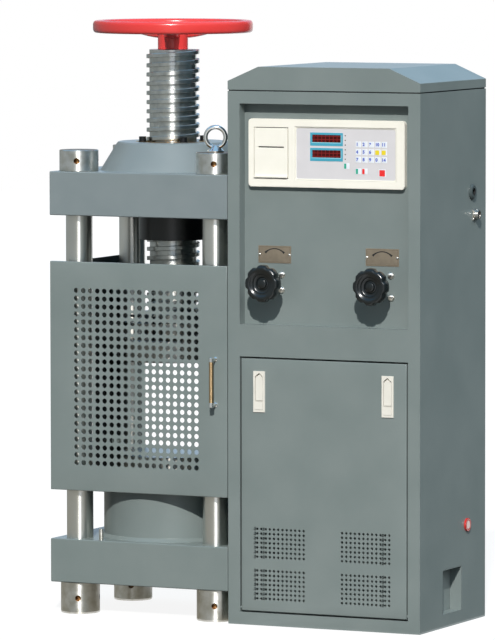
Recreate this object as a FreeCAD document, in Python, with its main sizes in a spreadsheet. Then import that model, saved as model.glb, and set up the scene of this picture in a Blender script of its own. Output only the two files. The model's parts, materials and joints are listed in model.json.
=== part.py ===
import FreeCAD, Part
import Sketcher
import math
import os
from FreeCAD import Placement, Rotation, Vector

# Compression testing machine: a four-column press frame joined to a sheet-steel control cabinet.
# Millimetres. X runs to the machine's right, Y away from the operator, Z up from the floor.
# The origin is the middle of the outside box at floor level.

doc = FreeCAD.newDocument("CompressionTester")
sheet = doc.addObject("Spreadsheet::Sheet", "Sizes")


# A size is a number together with the sheet formula it comes from, so that every
# sketch and feature can be driven by the sheet.
class Size:
    def __init__(self, value, text):
        self.v = float(value)
        self.text = text

    def __add__(self, other):
        o = as_size(other)
        return Size(self.v + o.v, "(%s + %s)" % (self.text, o.text))

    def __sub__(self, other):
        o = as_size(other)
        return Size(self.v - o.v, "(%s - %s)" % (self.text, o.text))

    def __mul__(self, other):
        o = as_size(other)
        return Size(self.v * o.v, "(%s * %s)" % (self.text, o.text))

    def __truediv__(self, other):
        o = as_size(other)
        return Size(self.v / o.v, "(%s / %s)" % (self.text, o.text))

    def __radd__(self, other):
        return as_size(other) + self

    def __rsub__(self, other):
        return as_size(other) - self

    def __rmul__(self, other):
        return as_size(other) * self

    def __neg__(self):
        return 0 - self


def as_size(x):
    if isinstance(x, Size):
        return x
    return Size(x, "%.9g" % x)


sheet_row = [0]


def size(name, value, note):
    sheet_row[0] += 1
    r = str(sheet_row[0])
    sheet.set("A" + r, name)
    sheet.set("B" + r, str(value))
    sheet.set("C" + r, note)
    sheet.setAlias("B" + r, name)
    return Size(value, "Sizes." + name)


def bind(obj, prop, x):
    obj.setExpression(prop, as_size(x).text)


# Driving sizes of the press frame
plate_w = size("plate_w", 428, "base plate and crosshead, width")
plate_d = size("plate_d", 348, "base plate and crosshead, depth")
plate_thick = size("plate_thick", 95, "base plate and crosshead, thickness")
foot_h = size("foot_h", 69, "foot nuts lift the base plate off the floor")
daylight = size("daylight", 705, "between base plate and crosshead")
column_d = size("column_d", 58, "ground steel columns")
column_in_x = size("column_in_x", 49, "column axis from the plates' left and right ends")
column_in_y = size("column_in_y", 46, "column axis from the plates' front and back")
nut_d = size("nut_d", 85, "round column nuts")
nut_h = size("nut_h", 46, "upper column nuts")
tommy_d = size("tommy_d", 13, "bar holes in the round nuts")
bell_foot_d = size("bell_foot_d", 316, "cone on the crosshead, foot")
bell_top_d = size("bell_top_d", 243, "cone on the crosshead, top")
bell_h = size("bell_h", 62, "cone height")
boss_d = size("boss_d", 150, "boss under the crosshead")
boss_h = size("boss_h", 56, "boss height")
screw_d = size("screw_d", 116, "load screw over the thread crests")
screw_top = size("screw_top", 200, "screw end above the top of the cone")
screw_len = size("screw_len", 571, "length of the screw's thread")
spigot_d = size("spigot_d", 56, "plain spigots at both ends of the screw")
wheel_d = size("wheel_d", 348, "handwheel over the rim")
rim_w = size("rim_w", 21.5, "rim section, width")
rim_h = size("rim_h", 27, "rim section, height")
hub_d = size("hub_d", 66, "wheel hub")
rim_rise = size("rim_rise", 50, "rim centre above the screw end")
cyl_d = size("cyl_d", 306, "hydraulic cylinder, outside")
cyl_h = size("cyl_h", 116, "hydraulic cylinder, height")
gland_h = size("gland_h", 12, "gland ring on the cylinder")
ram_d = size("ram_d", 220, "ram")
ram_out = size("ram_out", 11, "ram shows above the gland at rest")
lower_platen_d = size("lower_platen_d", 250, "lower platen")
platen_thick = size("platen_thick", 42, "lower platen thickness")
upper_platen_d = size("upper_platen_d", 240, "upper platen")
seat_h = size("seat_h", 105, "upper platen face below the screw's shoulder")
ball_r = size("ball_r", 75, "spherical seat radius")

# Driving sizes of the cabinet
cab_w = size("cab_w", 450, "cabinet width")
cab_h = size("cab_h", 1146, "floor to the lid seam")
seam = size("seam", 2.5, "seam under the lid")
plate_gap = size("plate_gap", 2, "between press plates and cabinet")
skin = size("skin", 2, "cabinet sheet")
lid_lip = size("lid_lip", 20, "upright lip of the lid")
lid_ridge = size("lid_ridge", 51, "lid height over the seam")
lid_slope = size("lid_slope", 72, "width of the sloping shoulders")
door_foot = size("door_foot", 27, "lower edge of the service opening")
door_top = size("door_top", 577, "upper edge of the service opening")
recess_foot = size("recess_foot", 646, "lower edge of the control recess")
recess_top = size("recess_top", 1118, "upper edge of the control recess")
recess_deep = size("recess_deep", 26, "depth of the control recess")
door_gap = size("door_gap", 3.5, "gap round the service door")
door_deep = size("door_deep", 18, "folded depth of the service door")
bezel_h = size("bezel_h", 145, "instrument bezel height")
bezel_down = size("bezel_down", 104.5, "bezel centre below the recess's upper edge")
bezel_out = size("bezel_out", 12, "bezel stands out of the recess floor")
bezel_edge = size("bezel_edge", 19.5, "bezel border right of the panel")
bezel_side = size("bezel_side", 14.5, "bezel from the recess's sides")
printer_in = size("printer_in", 53.5, "printer centre from the bezel's left edge")
printer_w = size("printer_w", 78, "printer cover width")
printer_h = size("printer_h", 106, "printer cover height")
printer_gap = size("printer_gap", 17, "between printer cover and membrane panel")
keypad_h = size("keypad_h", 113, "membrane panel height")
disp_in = size("disp_in", 35, "displays from the panel's left edge")
disp_w = size("disp_w", 76.5, "display frame width")
keys_in = size("keys_in", 36, "first key column right of the displays")
key_step = size("key_step", 15, "between key columns")
key_edge = size("key_edge", 28.5, "last key column from the panel's right edge")
knob_d = size("knob_d", 80, "valve knobs over the lobes")
knob_out = size("knob_out", 45, "knob face in front of the cabinet front")
valve_dx = size("valve_dx", 252, "between the two valves")
valve_up = size("valve_up", 91, "valve axis above the recess's lower edge")
lock_w = size("lock_w", 27, "flush lock width")
lock_h = size("lock_h", 88, "flush lock height")
lock_in = size("lock_in", 43, "lock centre from the door's side edges")
lock_down = size("lock_down", 70.5, "lock centre below the door's top edge")
plug_out = size("plug_out", 12, "signal connector stands out of the side")
side_port_y = size("side_port_y", 272, "cable gland behind the front")
gland_z = size("gland_z", 926, "cable gland above the floor")
sight_z = size("sight_z", 210, "oil sight glass above the floor")
cup_y = size("cup_y", 119, "hand pocket, front edge")
cup_w = size("cup_w", 102, "hand pocket, depth along Y")
cup_h = size("cup_h", 98, "hand pocket, height")
cup_deep = size("cup_deep", 28, "hand pocket, depth into the side")
tank_h = size("tank_h", 230, "oil tank height")
tank_rear = size("tank_rear", 40, "oil tank from the cabinet's back")
tank_side = size("tank_side", 36, "oil tank from the cabinet's right side")
pump_w = size("pump_w", 90, "oil pump block")

# Driving sizes of the guard
guard_up = size("guard_up", 107, "lower edge of the guard door above the base plate")
guard_h = size("guard_h", 498, "guard door height")
guard_deep = size("guard_deep", 12, "folded depth of the guard door")
guard_sheet = size("guard_sheet", 1.5, "guard sheet")
grip_h = size("grip_h", 98, "pull handle height")
grip_out = size("grip_out", 27, "handle bar in front of the door")
fit_gap = size("fit_gap", 0.4, "between surfaces that turn or slide on each other")
doc.recompute()

# Derived places. The cabinet is as deep as the press plates it stands beside. The outside box
# runs from the plates' left end to the connector and from the knob faces to the cabinet's back.
# The instrument is a bought unit, so the recess and the service opening are cut as wide as it needs.
cab_d = plate_d
key_columns = 5
keypad_in = printer_in + printer_w / 2 + printer_gap
keypad_w = disp_in + disp_w + keys_in + (key_columns - 1) * key_step + key_edge
bezel_w = keypad_in + keypad_w + bezel_edge
side_rail = (cab_w - bezel_w) / 2 - bezel_side
cab_x = -(cab_w + plug_out - plate_w - plate_gap) / 2
front_y = -(cab_d - knob_out) / 2
axis_x = cab_x - plate_gap - plate_w / 2
axis_y = front_y + plate_d / 2
base_top = foot_h + plate_thick
head_z = base_top + daylight
head_top = head_z + plate_thick
bell_top = head_top + bell_h
screw_end = bell_top + screw_top
screw_foot = screw_end - screw_len
upper_platen_z = screw_foot - seat_h
lower_platen_z = base_top + cyl_h + gland_h + ram_out + platen_thick
guard_z = base_top + guard_up
grip_z = guard_z + guard_h / 2
bezel_z = recess_top - bezel_down
bez_x0 = (cab_w - bezel_w) / 2
printer_x = bez_x0 + printer_in
keypad_x0 = bez_x0 + keypad_in
keypad_x1 = keypad_x0 + keypad_w
valve_z = recess_foot + valve_up
valve_x = cab_x + cab_w / 2
col_r = column_d / 2
col_x = plate_w / 2 - column_in_x
col_y = plate_d / 2 - column_in_y
corners = [(-col_x, -col_y), (col_x, -col_y), (-col_x, col_y), (col_x, col_y)]


# Sketch and feature helpers
def new_body(label, x=0, y=0, z=0):
    body = doc.addObject("PartDesign::Body", label)
    body.Label = label
    bind(body, "Placement.Base.x", x)
    bind(body, "Placement.Base.y", y)
    bind(body, "Placement.Base.z", z)
    return body


def new_sketch(body, plane, offset):
    sk = body.newObject("Sketcher::SketchObject", body.Name + "_sketch")
    support = [f for f in body.Origin.OriginFeatures if f.Role == plane][0]
    sk.AttachmentSupport = [(support, "")]
    sk.MapMode = "FlatFace"
    bind(sk, "AttachmentOffset.Base.z", offset)
    return sk


def pin_point(sk, geo, pos, x, y):
    for kind, axis, q in (("DistanceX", -2, as_size(x)), ("DistanceY", -1, as_size(y))):
        if abs(q.v) < 1e-9:
            sk.addConstraint(Sketcher.Constraint("PointOnObject", geo, pos, axis))
        else:
            n = sk.addConstraint(Sketcher.Constraint(kind, -1, 1, geo, pos, q.v))
            sk.setExpression("Constraints[%d]" % n, q.text)


def draw_loop(sk, points):
    pts = [(as_size(x), as_size(y)) for x, y in points]
    first = sk.GeometryCount
    n = len(pts)
    for i in range(n):
        a = pts[i]
        b = pts[(i + 1) % n]
        sk.addGeometry(Part.LineSegment(Vector(a[0].v, a[1].v, 0), Vector(b[0].v, b[1].v, 0)))
    for i in range(n):
        nxt = first + (i + 1) % n
        sk.addConstraint(Sketcher.Constraint("Coincident", first + i, 2, nxt, 1))
    for i in range(n):
        pin_point(sk, first + i, 1, pts[i][0], pts[i][1])


def draw_box(sk, x0, y0, x1, y1):
    draw_loop(sk, [(x0, y0), (x1, y0), (x1, y1), (x0, y1)])


def draw_ring(sk, x, y, r):
    r = as_size(r)
    g = sk.addGeometry(Part.Circle(Vector(as_size(x).v, as_size(y).v, 0), Vector(0, 0, 1), r.v))
    pin_point(sk, g, 3, x, y)
    n = sk.addConstraint(Sketcher.Constraint("Radius", g, r.v))
    sk.setExpression("Constraints[%d]" % n, r.text)


def loop(body, plane, points, offset=0):
    sk = new_sketch(body, plane, offset)
    draw_loop(sk, points)
    return sk


def boxes(body, plane, rects, offset=0):
    sk = new_sketch(body, plane, offset)
    for r in rects:
        draw_box(sk, *r)
    return sk


def rings(body, plane, circles, offset=0):
    sk = new_sketch(body, plane, offset)
    for c in circles:
        draw_ring(sk, *c)
    return sk


def feature(body, kind, sk):
    f = body.newObject("PartDesign::" + kind, body.Name + "_" + kind.lower())
    f.Profile = sk
    sk.Visibility = False
    return f


def pad(body, sk, length, back=False):
    f = feature(body, "Pad", sk)
    bind(f, "Length", length)
    f.Reversed = back
    return f


def pocket(body, sk, length, back=False):
    f = feature(body, "Pocket", sk)
    bind(f, "Length", length)
    f.Reversed = back
    return f


def turned(body, points, kind="Revolution", plane="XZ_Plane", axis="V_Axis"):
    sk = loop(body, plane, points)
    f = feature(body, kind, sk)
    f.ReferenceAxis = (sk, [axis])
    f.Angle = 360
    return f


def polar(body, features, axis_role, count):
    f = body.newObject("PartDesign::PolarPattern", body.Name + "_polar")
    f.Originals = features
    body.Tip = f
    f.Axis = ([a for a in body.Origin.OriginFeatures if a.Role == axis_role][0], [""])
    f.Angle = 360
    f.Occurrences = count
    return f


def edges_where(shape, test):
    return ["Edge%d" % (i + 1) for i, e in enumerate(shape.Edges) if test(e)]


def round_edges(body, base, test, r, kind="Fillet"):
    doc.recompute()
    f = body.newObject("PartDesign::" + kind, body.Name + "_" + kind.lower())
    f.Base = (base, edges_where(base.Shape, test))
    bind(f, "Radius" if kind == "Fillet" else "Size", r)
    return f


def runs_along(e, direction):
    if e.Curve.TypeId != "Part::GeomLine":
        return False
    a, b = e.Vertexes[0].Point, e.Vertexes[-1].Point
    return (b - a).normalize().cross(direction).Length < 1e-6


def solid_group(label, shapes, x=0, y=0, z=0):
    obj = doc.addObject("Part::Feature", label)
    obj.Label = label
    obj.Shape = Part.makeCompound(shapes) if len(shapes) > 1 else shapes[0]
    bind(obj, "Placement.Base.x", x)
    bind(obj, "Placement.Base.y", y)
    bind(obj, "Placement.Base.z", z)
    return obj


X_DIR, Y_DIR, Z_DIR = Vector(1, 0, 0), Vector(0, 1, 0), Vector(0, 0, 1)

# Base plate: a thick steel slab bored for the four columns
base = new_body("base_plate", axis_x, axis_y, foot_h)
f = pad(base, boxes(base, "XY_Plane", [(-plate_w / 2, -plate_d / 2, plate_w / 2, plate_d / 2)]), plate_thick)
round_edges(base, f, lambda e: True, 1.5, "Chamfer")
pocket(base, rings(base, "XY_Plane", [(x, y, col_r) for x, y in corners], plate_thick), plate_thick)

# Columns: four ground bars from inside the foot nuts to inside the upper nuts
column_foot = 10
nut_roof = 6
column_len = head_top + nut_h - nut_roof - column_foot
columns = new_body("columns", axis_x, axis_y, column_foot)
pad(columns, rings(columns, "XY_Plane", [(x, y, col_r) for x, y in corners]), column_len)


# Round nuts: a blind bore for the column end and four bar holes set towards the front right
def round_nut(height, blind_top):
    body = Part.makeCylinder(nut_d.v / 2, height)
    body = body.makeChamfer(1.2, [e for e in body.Edges if e.Curve.TypeId == "Part::GeomCircle"])
    bore_z = 0 if blind_top else column_foot
    bore_len = height - nut_roof if blind_top else height - column_foot
    bore = Part.makeCylinder(col_r.v, bore_len, Vector(0, 0, bore_z))
    body = body.cut(bore)
    for angle in (-70, 20):
        a = math.radians(angle)
        way = Vector(math.cos(a), math.sin(a), 0)
        start = way * (-nut_d.v / 2 - 2) + Vector(0, 0, height / 2)
        hole = Part.makeCylinder(tommy_d.v / 2, nut_d.v + 4, start, way)
        hole = hole.cut(Part.makeCylinder(col_r.v + 2, height))
        body = body.cut(hole)
    return body


def at_corners(shape):
    out = []
    for x, y in corners:
        s = shape.copy()
        s.translate(Vector(x.v, y.v, 0))
        out.append(s)
    return out


solid_group("upper_column_nuts", at_corners(round_nut(nut_h.v, True)), axis_x, axis_y, head_top)
solid_group("foot_nuts", at_corners(round_nut(foot_h.v, False)), axis_x, axis_y, 0)

# Crosshead casting: slab, cone on top, boss below, stepped bore for the bronze nut.
# The cone and boss are one turned profile so that the bore and its step stay true to each other.
flange_r = 82
nut_r = 66
flange_h = 12
clear_r = screw_d / 2 + 2
head = new_body("crosshead", axis_x, axis_y, head_z)
f = pad(head, boxes(head, "XY_Plane", [(-plate_w / 2, -plate_d / 2, plate_w / 2, plate_d / 2)]), plate_thick)
round_edges(head, f, lambda e: True, 1.5, "Chamfer")
shell = plate_thick + bell_h
flange_z = shell - flange_h
casting = [(0, -boss_h), (boss_d / 2, -boss_h), (boss_d / 2, 1), (bell_foot_d / 2, 1),
           (bell_foot_d / 2 + 1.5, plate_thick), (bell_foot_d / 2, plate_thick + 1.5),
           (bell_top_d / 2 + 1, shell - 3), (bell_top_d / 2 - 2, shell), (0, shell)]
turned(head, casting)
bore = [(0, -boss_h - 1), (clear_r, -boss_h - 1), (clear_r, 0), (nut_r, 0), (nut_r, flange_z),
        (flange_r, flange_z), (flange_r, shell + 1), (0, shell + 1)]
turned(head, bore, "Groove")
pocket(head, rings(head, "XY_Plane", [(x, y, col_r) for x, y in corners], plate_thick), plate_thick)

# Bronze screw nut, let into the crosshead from above and held by four cap screws
nut = new_body("screw_nut", axis_x, axis_y, head_z)
run_r = screw_d / 2 + fit_gap
turned(nut, [(run_r, 0), (nut_r, 0), (nut_r, flange_z), (flange_r, flange_z), (flange_r, shell),
             (run_r, shell)])
cap_screw_circle = 70
cap_screws = []
for k in range(4):
    a = math.radians(45 + 90 * k)
    at = Vector(cap_screw_circle * math.cos(a), cap_screw_circle * math.sin(a), 0)
    top = Part.makeCylinder(9.5, 1.6, at).fuse(Part.makeCylinder(8, 11.6, at))
    cap_screws.append(top.cut(Part.makeCylinder(4, 6, at + Vector(0, 0, 6))))
solid_group("nut_cap_screws", cap_screws, axis_x, axis_y, bell_top)

# Load screw: crest cylinder with a spigot for the wheel above and a pivot for the seat below
pivot_h = 26
screw = new_body("load_screw", axis_x, axis_y, screw_foot)
spigot_r = spigot_d / 2
stud_r = 15
hub_h = 40
stud_len = hub_h + 6
crest_r = screw_d / 2
turned(screw, [(0, -pivot_h), (spigot_r - 2, -pivot_h), (spigot_r, -pivot_h + 2), (spigot_r, 0),
               (crest_r - 4, 0), (crest_r, 4), (crest_r, screw_len - 4), (crest_r - 4, screw_len),
               (stud_r, screw_len), (stud_r, screw_len + stud_len), (0, screw_len + stud_len)])

# Handwheel: hub turned first, rim swept round it, one dished spoke lofted and repeated
spokes = 3
wheel = new_body("handwheel", axis_x, axis_y, screw_end)
wheel.Placement.Rotation = Rotation(Z_DIR, 22)
hub_r = hub_d / 2
turned(wheel, [(stud_r, 0), (hub_r, 0), (hub_r, hub_h - 4), (hub_r - 4, hub_h), (stud_r, hub_h)])
rim_mid = (wheel_d - rim_w) / 2
rim_soft = 8
section = []
for quarter, (side_x, side_z) in enumerate([(1, 1), (-1, 1), (-1, -1), (1, -1)]):
    for step in range(3):
        a = math.radians(90 * quarter + 45 * step)
        section.append((rim_mid + side_x * (rim_w / 2 - rim_soft) + rim_soft * math.cos(a),
                        rim_rise + side_z * (rim_h / 2 - rim_soft) + rim_soft * math.sin(a)))
sk = loop(wheel, "XZ_Plane", section)
f = feature(wheel, "Revolution", sk)
f.ReferenceAxis = (sk, ["V_Axis"])
f.Angle = 360
root = 5 - hub_r
arm = pad(wheel, loop(wheel, "XY_Plane", [(-11, -rim_mid), (11, -rim_mid), (18, root), (-18, root)], 15), 45)
past_rim = -rim_mid - 30
over = [(past_rim, rim_rise + 5), (-rim_mid, rim_rise + 5), (root - 30, hub_h - 4), (root + 1, hub_h - 6),
        (root + 1, 90), (past_rim, 90)]
cut_a = pocket(wheel, loop(wheel, "YZ_Plane", over, 20), 40)
under = [(past_rim, rim_rise - 6), (-rim_mid, rim_rise - 6), (root - 50, 33), (root - 8, 24), (root - 8, 5),
         (past_rim, 5)]
cut_b = pocket(wheel, loop(wheel, "YZ_Plane", under, 20), 40)
polar(wheel, [arm, cut_a, cut_b], "Z_Axis", spokes)

# Wheel nut on top of the hub
wheel_nut = new_body("wheel_nut", axis_x, axis_y, screw_end + hub_h)
hexagon = [(25 * math.cos(math.radians(60 * k)), 25 * math.sin(math.radians(60 * k))) for k in range(6)]
sk = loop(wheel_nut, "XY_Plane", hexagon)
draw_ring(sk, 0, 0, stud_r)
pad(wheel_nut, sk, stud_len - hub_h - 0.5)

# Hydraulic cylinder with its foot ring, gland and screws
cylinder = new_body("hydraulic_cylinder", axis_x, axis_y, base_top)
bore_r = ram_d / 2 + fit_gap
turned(cylinder, [(0, 0), (cyl_d / 2 + 7, 0), (cyl_d / 2, 8), (cyl_d / 2, cyl_h - 3), (cyl_d / 2 - 3, cyl_h),
                  (bore_r, cyl_h), (bore_r, 20), (0, 20)])
pipe_r = 7
pipe_clear = 4
pipe_y = plate_d - column_in_y - column_d / 2 - pipe_r - pipe_clear
pipe_z = base_top + 41
port_in = 118
pocket(cylinder, rings(cylinder, "YZ_Plane", [(pipe_y - plate_d / 2, pipe_z - base_top, pipe_r)], cyl_d / 2),
       cyl_d / 2 - port_in)
gland = new_body("gland_ring", axis_x, axis_y, base_top + cyl_h)
turned(gland, [(bore_r, 0), (cyl_d / 2 - 8, 0), (cyl_d / 2 - 8, gland_h - 2), (cyl_d / 2 - 10, gland_h),
               (bore_r, gland_h)])

# Ram and lower platen
ram = new_body("ram", axis_x, axis_y, base_top + 24)
ram_len = lower_platen_z - platen_thick - base_top - 24
turned(ram, [(0, 0), (ram_d / 2 - 3, 0), (ram_d / 2, 3), (ram_d / 2, ram_len), (0, ram_len)])
lower = new_body("lower_platen", axis_x, axis_y, lower_platen_z - platen_thick)
plat_r = lower_platen_d / 2
turned(lower, [(0, 0), (plat_r - 2, 0), (plat_r, 2), (plat_r, platen_thick - 1.5),
               (plat_r - 1.5, platen_thick), (0, platen_thick)])

# Upper platen: disc and ball in one piece; the ball's centre is the middle of the face
upper = new_body("upper_platen", axis_x, axis_y, upper_platen_z)
disc_h = 48
up_r = upper_platen_d / 2
turned(upper, [(0, 0), (up_r - 1.5, 0), (up_r, 1.5), (up_r, disc_h - 2), (up_r - 2, disc_h), (0, disc_h)])
ball = upper.newObject("PartDesign::AdditiveSphere", "upper_platen_ball")
bind(ball, "Radius", ball_r)
ball.Angle1 = 0
ball.Angle2 = 90

# Seat housing: hollow ball socket with a flange for the hangers, held on the screw pivot
seat = new_body("seat_housing", axis_x, axis_y, upper_platen_z)
socket_foot = 57
socket_r = ball_r + fit_gap
housing_top = screw_foot - upper_platen_z - fit_gap
cup_r = 72
ear_r = 112
ear_z = socket_foot + 15
ear_top = ear_z + 12
turned(seat, [(0, socket_foot), (cup_r, socket_foot), (cup_r, ear_z), (ear_r, ear_z), (ear_r, ear_top),
              (cup_r, ear_top), (cup_r, housing_top - 4), (cup_r - 4, housing_top), (0, housing_top)])
hollow = seat.newObject("PartDesign::SubtractiveSphere", "seat_hollow")
bind(hollow, "Radius", socket_r)
turned(seat, [(0, housing_top - pivot_h - 1), (spigot_r + fit_gap, housing_top - pivot_h - 1),
              (spigot_r + fit_gap, housing_top + 1), (0, housing_top + 1)], "Groove")
hanger_r = 92
hanger_holes = [(hanger_r, 0, 11), (-hanger_r, 0, 11), (0, hanger_r, 11), (0, -hanger_r, 11)]
pocket(seat, rings(seat, "XY_Plane", hanger_holes, ear_top + 1), 14)

# Hanger studs carry the upper platen: each stud's head hangs over the socket flange
studs = []
for k in range(4):
    a = math.radians(90 * k)
    at = Vector(hanger_r * math.cos(a), hanger_r * math.sin(a), 0)
    rod = Part.makeCylinder(5, 50, at)
    studs.append(rod.fuse(Part.makeCylinder(14, 4, at + Vector(0, 0, 42))))
solid_group("hanger_studs", studs, axis_x, axis_y, upper_platen_z + disc_h)

# Eye bolt in the front right upper nut, its ring turned a little towards the cabinet
eye_rod = 9.5
eye_mid = 21.5
eye = new_body("eye_bolt", axis_x + col_x, axis_y - col_y, head_top + nut_h)
eye.Placement.Rotation = Rotation(Z_DIR, 22)
turned(eye, [(0, 0), (18, 0), (18, 4), (14, 8), (7, 15), (0, 15)])
ring = eye.newObject("PartDesign::AdditiveTorus", "eye_ring")
ring.Radius1 = eye_mid
ring.Radius2 = eye_rod / 2
ring.Placement = Placement(Vector(0, 0, 11.5 + eye_mid), Rotation(X_DIR, 90))

# Guard door: a folded sheet pan that hangs on two pins inside its left edge.
# The lower half of each hinge is fixed to the side cover, the upper half is welded to the door.
pin_in = 7
knuckle_r = 5
guard_w = plate_w - 1
guard_left = axis_x - guard_w / 2
hinge_x = guard_left + pin_in
hinge_y = front_y + pin_in
half = 22
knuckle_z = (as_size(30), guard_h - 30 - 2 * half)
guard = new_body("guard_door", guard_left, front_y + guard_deep, guard_z)
pad(guard, boxes(guard, "XZ_Plane", [(0, 0, guard_w, guard_h)]), guard_deep)
inner = [(guard_sheet, guard_sheet, guard_w - guard_sheet, guard_h - guard_sheet)]
pocket(guard, boxes(guard, "XZ_Plane", inner), guard_deep - guard_sheet, True)
notches = [(-guard_deep + guard_sheet, z - 1, 1, z + 2 * half + 1) for z in knuckle_z]
pocket(guard, boxes(guard, "YZ_Plane", notches, guard_sheet + 0.3), guard_sheet + 1)
axis_in = pin_in - guard_deep
for z in knuckle_z:
    low = z + half + 0.5
    leaf = (pin_in, guard_sheet - guard_deep, pin_in + 24, guard_sheet - guard_deep + 2)
    pad(guard, boxes(guard, "XY_Plane", [leaf], low), half)
    pad(guard, rings(guard, "XY_Plane", [(pin_in, axis_in, knuckle_r)], low), half)
    pocket(guard, rings(guard, "XY_Plane", [(pin_in, axis_in, 3.3)], low + half + 1), half + 2)
pins = new_body("guard_hinge_pins", hinge_x, hinge_y, guard_z)
arm_in = guard_sheet - pin_in
for z in knuckle_z:
    pad(pins, rings(pins, "XY_Plane", [(0, 0, knuckle_r)], z), half)
    pad(pins, rings(pins, "XY_Plane", [(0, 0, 2.9)], z + half), half)
    pad(pins, boxes(pins, "XY_Plane", [(-4.2, 3, -2.4, 25)], z), half)
    pad(pins, boxes(pins, "XY_Plane", [(arm_in, 18, -2.4, 26)], z), half)

# Pull handle: two feet and a bar swept through them
grip = new_body("guard_handle", axis_x + guard_w / 2 - 27, front_y, grip_z)
g = grip_h / 2
path = new_sketch(grip, "YZ_Plane", 0)
bend = 9
bar_r = 5
reach = -(grip_out - bar_r)
stops = [(0, -g), (reach + bend, -g), (reach, -g + bend), (reach, g - bend), (reach + bend, g), (0, g)]
for a, b in zip(stops[:-1], stops[1:]):
    n = path.addGeometry(Part.LineSegment(Vector(as_size(a[0]).v, as_size(a[1]).v, 0),
                                          Vector(as_size(b[0]).v, as_size(b[1]).v, 0)))
    if n > 0:
        path.addConstraint(Sketcher.Constraint("Coincident", n - 1, 2, n, 1))
for n, a in enumerate(stops[:-1]):
    pin_point(path, n, 1, a[0], a[1])
pin_point(path, len(stops) - 2, 2, stops[-1][0], stops[-1][1])
rod = rings(grip, "XZ_Plane", [(0, -g, bar_r)])
f = grip.newObject("PartDesign::AdditivePipe", "guard_handle_sweep")
f.Profile = rod
f.Spine = path
f.Transition = "Right corner"
f.Mode = "Standard"

# Side cover on the left of the test space, with a return at the rear
cover = new_body("guard_side_cover", guard_left, front_y, guard_z)
wall = guard_sheet
rear = plate_d - 4
sk = loop(cover, "XY_Plane", [(0, 24), (wall, 24), (wall, rear - wall), (60, rear - wall), (60, rear),
                              (0, rear)])
pad(cover, sk, guard_h - 6)
clamps = new_body("cover_clamps", axis_x - col_x, axis_y, guard_z)
edge_x = guard_w / 2 - col_x - wall
for z in (70, guard_h - 90):
    for y in (-col_y, col_y):
        sk = boxes(clamps, "XY_Plane", [(-edge_x, y - 10, -10, y + 10)], z)
        pad(clamps, sk, 20)
        pocket(clamps, rings(clamps, "XY_Plane", [(0, y, col_r)], as_size(z) + 21), 22)
catch = new_body("door_catch", cab_x, front_y + guard_deep + 1, guard_z + guard_h / 2 - 20)
pad(catch, boxes(catch, "XZ_Plane", [(-22, 0, 0, 40)], -14), 14)
post = new_body("guard_stop_post", axis_x - 94, front_y + 8, base_top)
pad(post, rings(post, "XY_Plane", [(0, 0, 5)]), 25)

# Cabinet walls: left, back and right in one folded sheet
walls = new_body("cabinet_walls", cab_x, front_y, 0)
wall_h = cab_h - seam / 2
sk = loop(walls, "XY_Plane", [(0, skin), (skin, skin), (skin, cab_d - skin), (cab_w - skin, cab_d - skin),
                              (cab_w - skin, skin), (cab_w, skin), (cab_w, cab_d), (0, cab_d)])
pad(walls, sk, wall_h)
cup_z = door_foot
plug_y = side_port_y + 15
plug_z = gland_z - 50
sight_y = side_port_y - 24
sk = boxes(walls, "YZ_Plane", [(cup_y, cup_z, cup_y + cup_w, cup_z + cup_h)], cab_w + 1)
draw_ring(sk, side_port_y, gland_z, 12)
draw_ring(sk, plug_y, plug_z, 9)
draw_ring(sk, sight_y, sight_z, 10)
pocket(walls, sk, skin + 2)
pocket(walls, rings(walls, "YZ_Plane", [(pipe_y, pipe_z, pipe_r)], skin + 1), skin + 2)

spacers = new_body("cabinet_spacers", cab_x - plate_gap, front_y, 0)
strip_in = size("strip_in", 60, "spacer strips from the plates' front and back")
strip_w = size("strip_w", 40, "spacer strip width")
strip_h = size("strip_h", 45, "spacer strip height")
strip_end = strip_in + strip_w
for plate_foot in (foot_h, head_z):
    strips = [(0, strip_in, plate_gap, strip_end), (0, plate_d - strip_end, plate_gap, plate_d - strip_in)]
    pad(spacers, boxes(spacers, "XY_Plane", strips, plate_foot + (plate_thick - strip_h) / 2), strip_h)

floor = new_body("cabinet_floor", cab_x, front_y, 0)
pad(floor, boxes(floor, "XY_Plane", [(skin, skin, cab_w - skin, cab_d - skin)]), skin)

# Front sheet with its two openings; the lower one has folded returns the door sits in
front = new_body("cabinet_front", cab_x, front_y + skin, 0)
low_hole = (side_rail, door_foot, cab_w - side_rail, door_top)
high_hole = (side_rail, recess_foot, cab_w - side_rail, recess_top)
pad(front, boxes(front, "XZ_Plane", [(0, 0, cab_w, wall_h)]), skin)
pocket(front, boxes(front, "XZ_Plane", [low_hole, high_hole], skin + 1), skin + 2)
return_deep = size("return_deep", 24, "folded returns round the service opening")
sk = boxes(front, "XZ_Plane", [low_hole])
draw_box(sk, side_rail - skin, door_foot - skin, cab_w - side_rail + skin, door_top + skin)
pad(front, sk, return_deep, True)
hinge_in = 6
pin_reach = door_gap + skin + 1.5
hinge_up = door_foot + door_gap + hinge_in
pin_r = 3
for x in (side_rail, cab_w - side_rail - pin_reach):
    pad(front, rings(front, "YZ_Plane", [(hinge_in - skin, hinge_up, pin_r)], x), pin_reach)

# Control recess: a tray behind the upper opening
tray = new_body("control_recess", cab_x, front_y + recess_deep + skin, 0)
outer = (side_rail - skin, recess_foot - skin, cab_w - side_rail + skin, recess_top + skin)
pad(tray, boxes(tray, "XZ_Plane", [outer]), recess_deep)
pocket(tray, boxes(tray, "XZ_Plane", [high_hole], recess_deep), recess_deep - skin)
bez_z0 = bezel_z - bezel_h / 2
behind = (bez_x0 + 10, bez_z0 + 10, bez_x0 + bezel_w - 10, bez_z0 + bezel_h - 10)
sk = boxes(tray, "XZ_Plane", [behind], skin + 1)
for s in (-1, 1):
    draw_ring(sk, cab_w / 2 + s * valve_dx / 2, valve_z, 14)
pocket(tray, sk, skin + 2)

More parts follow.
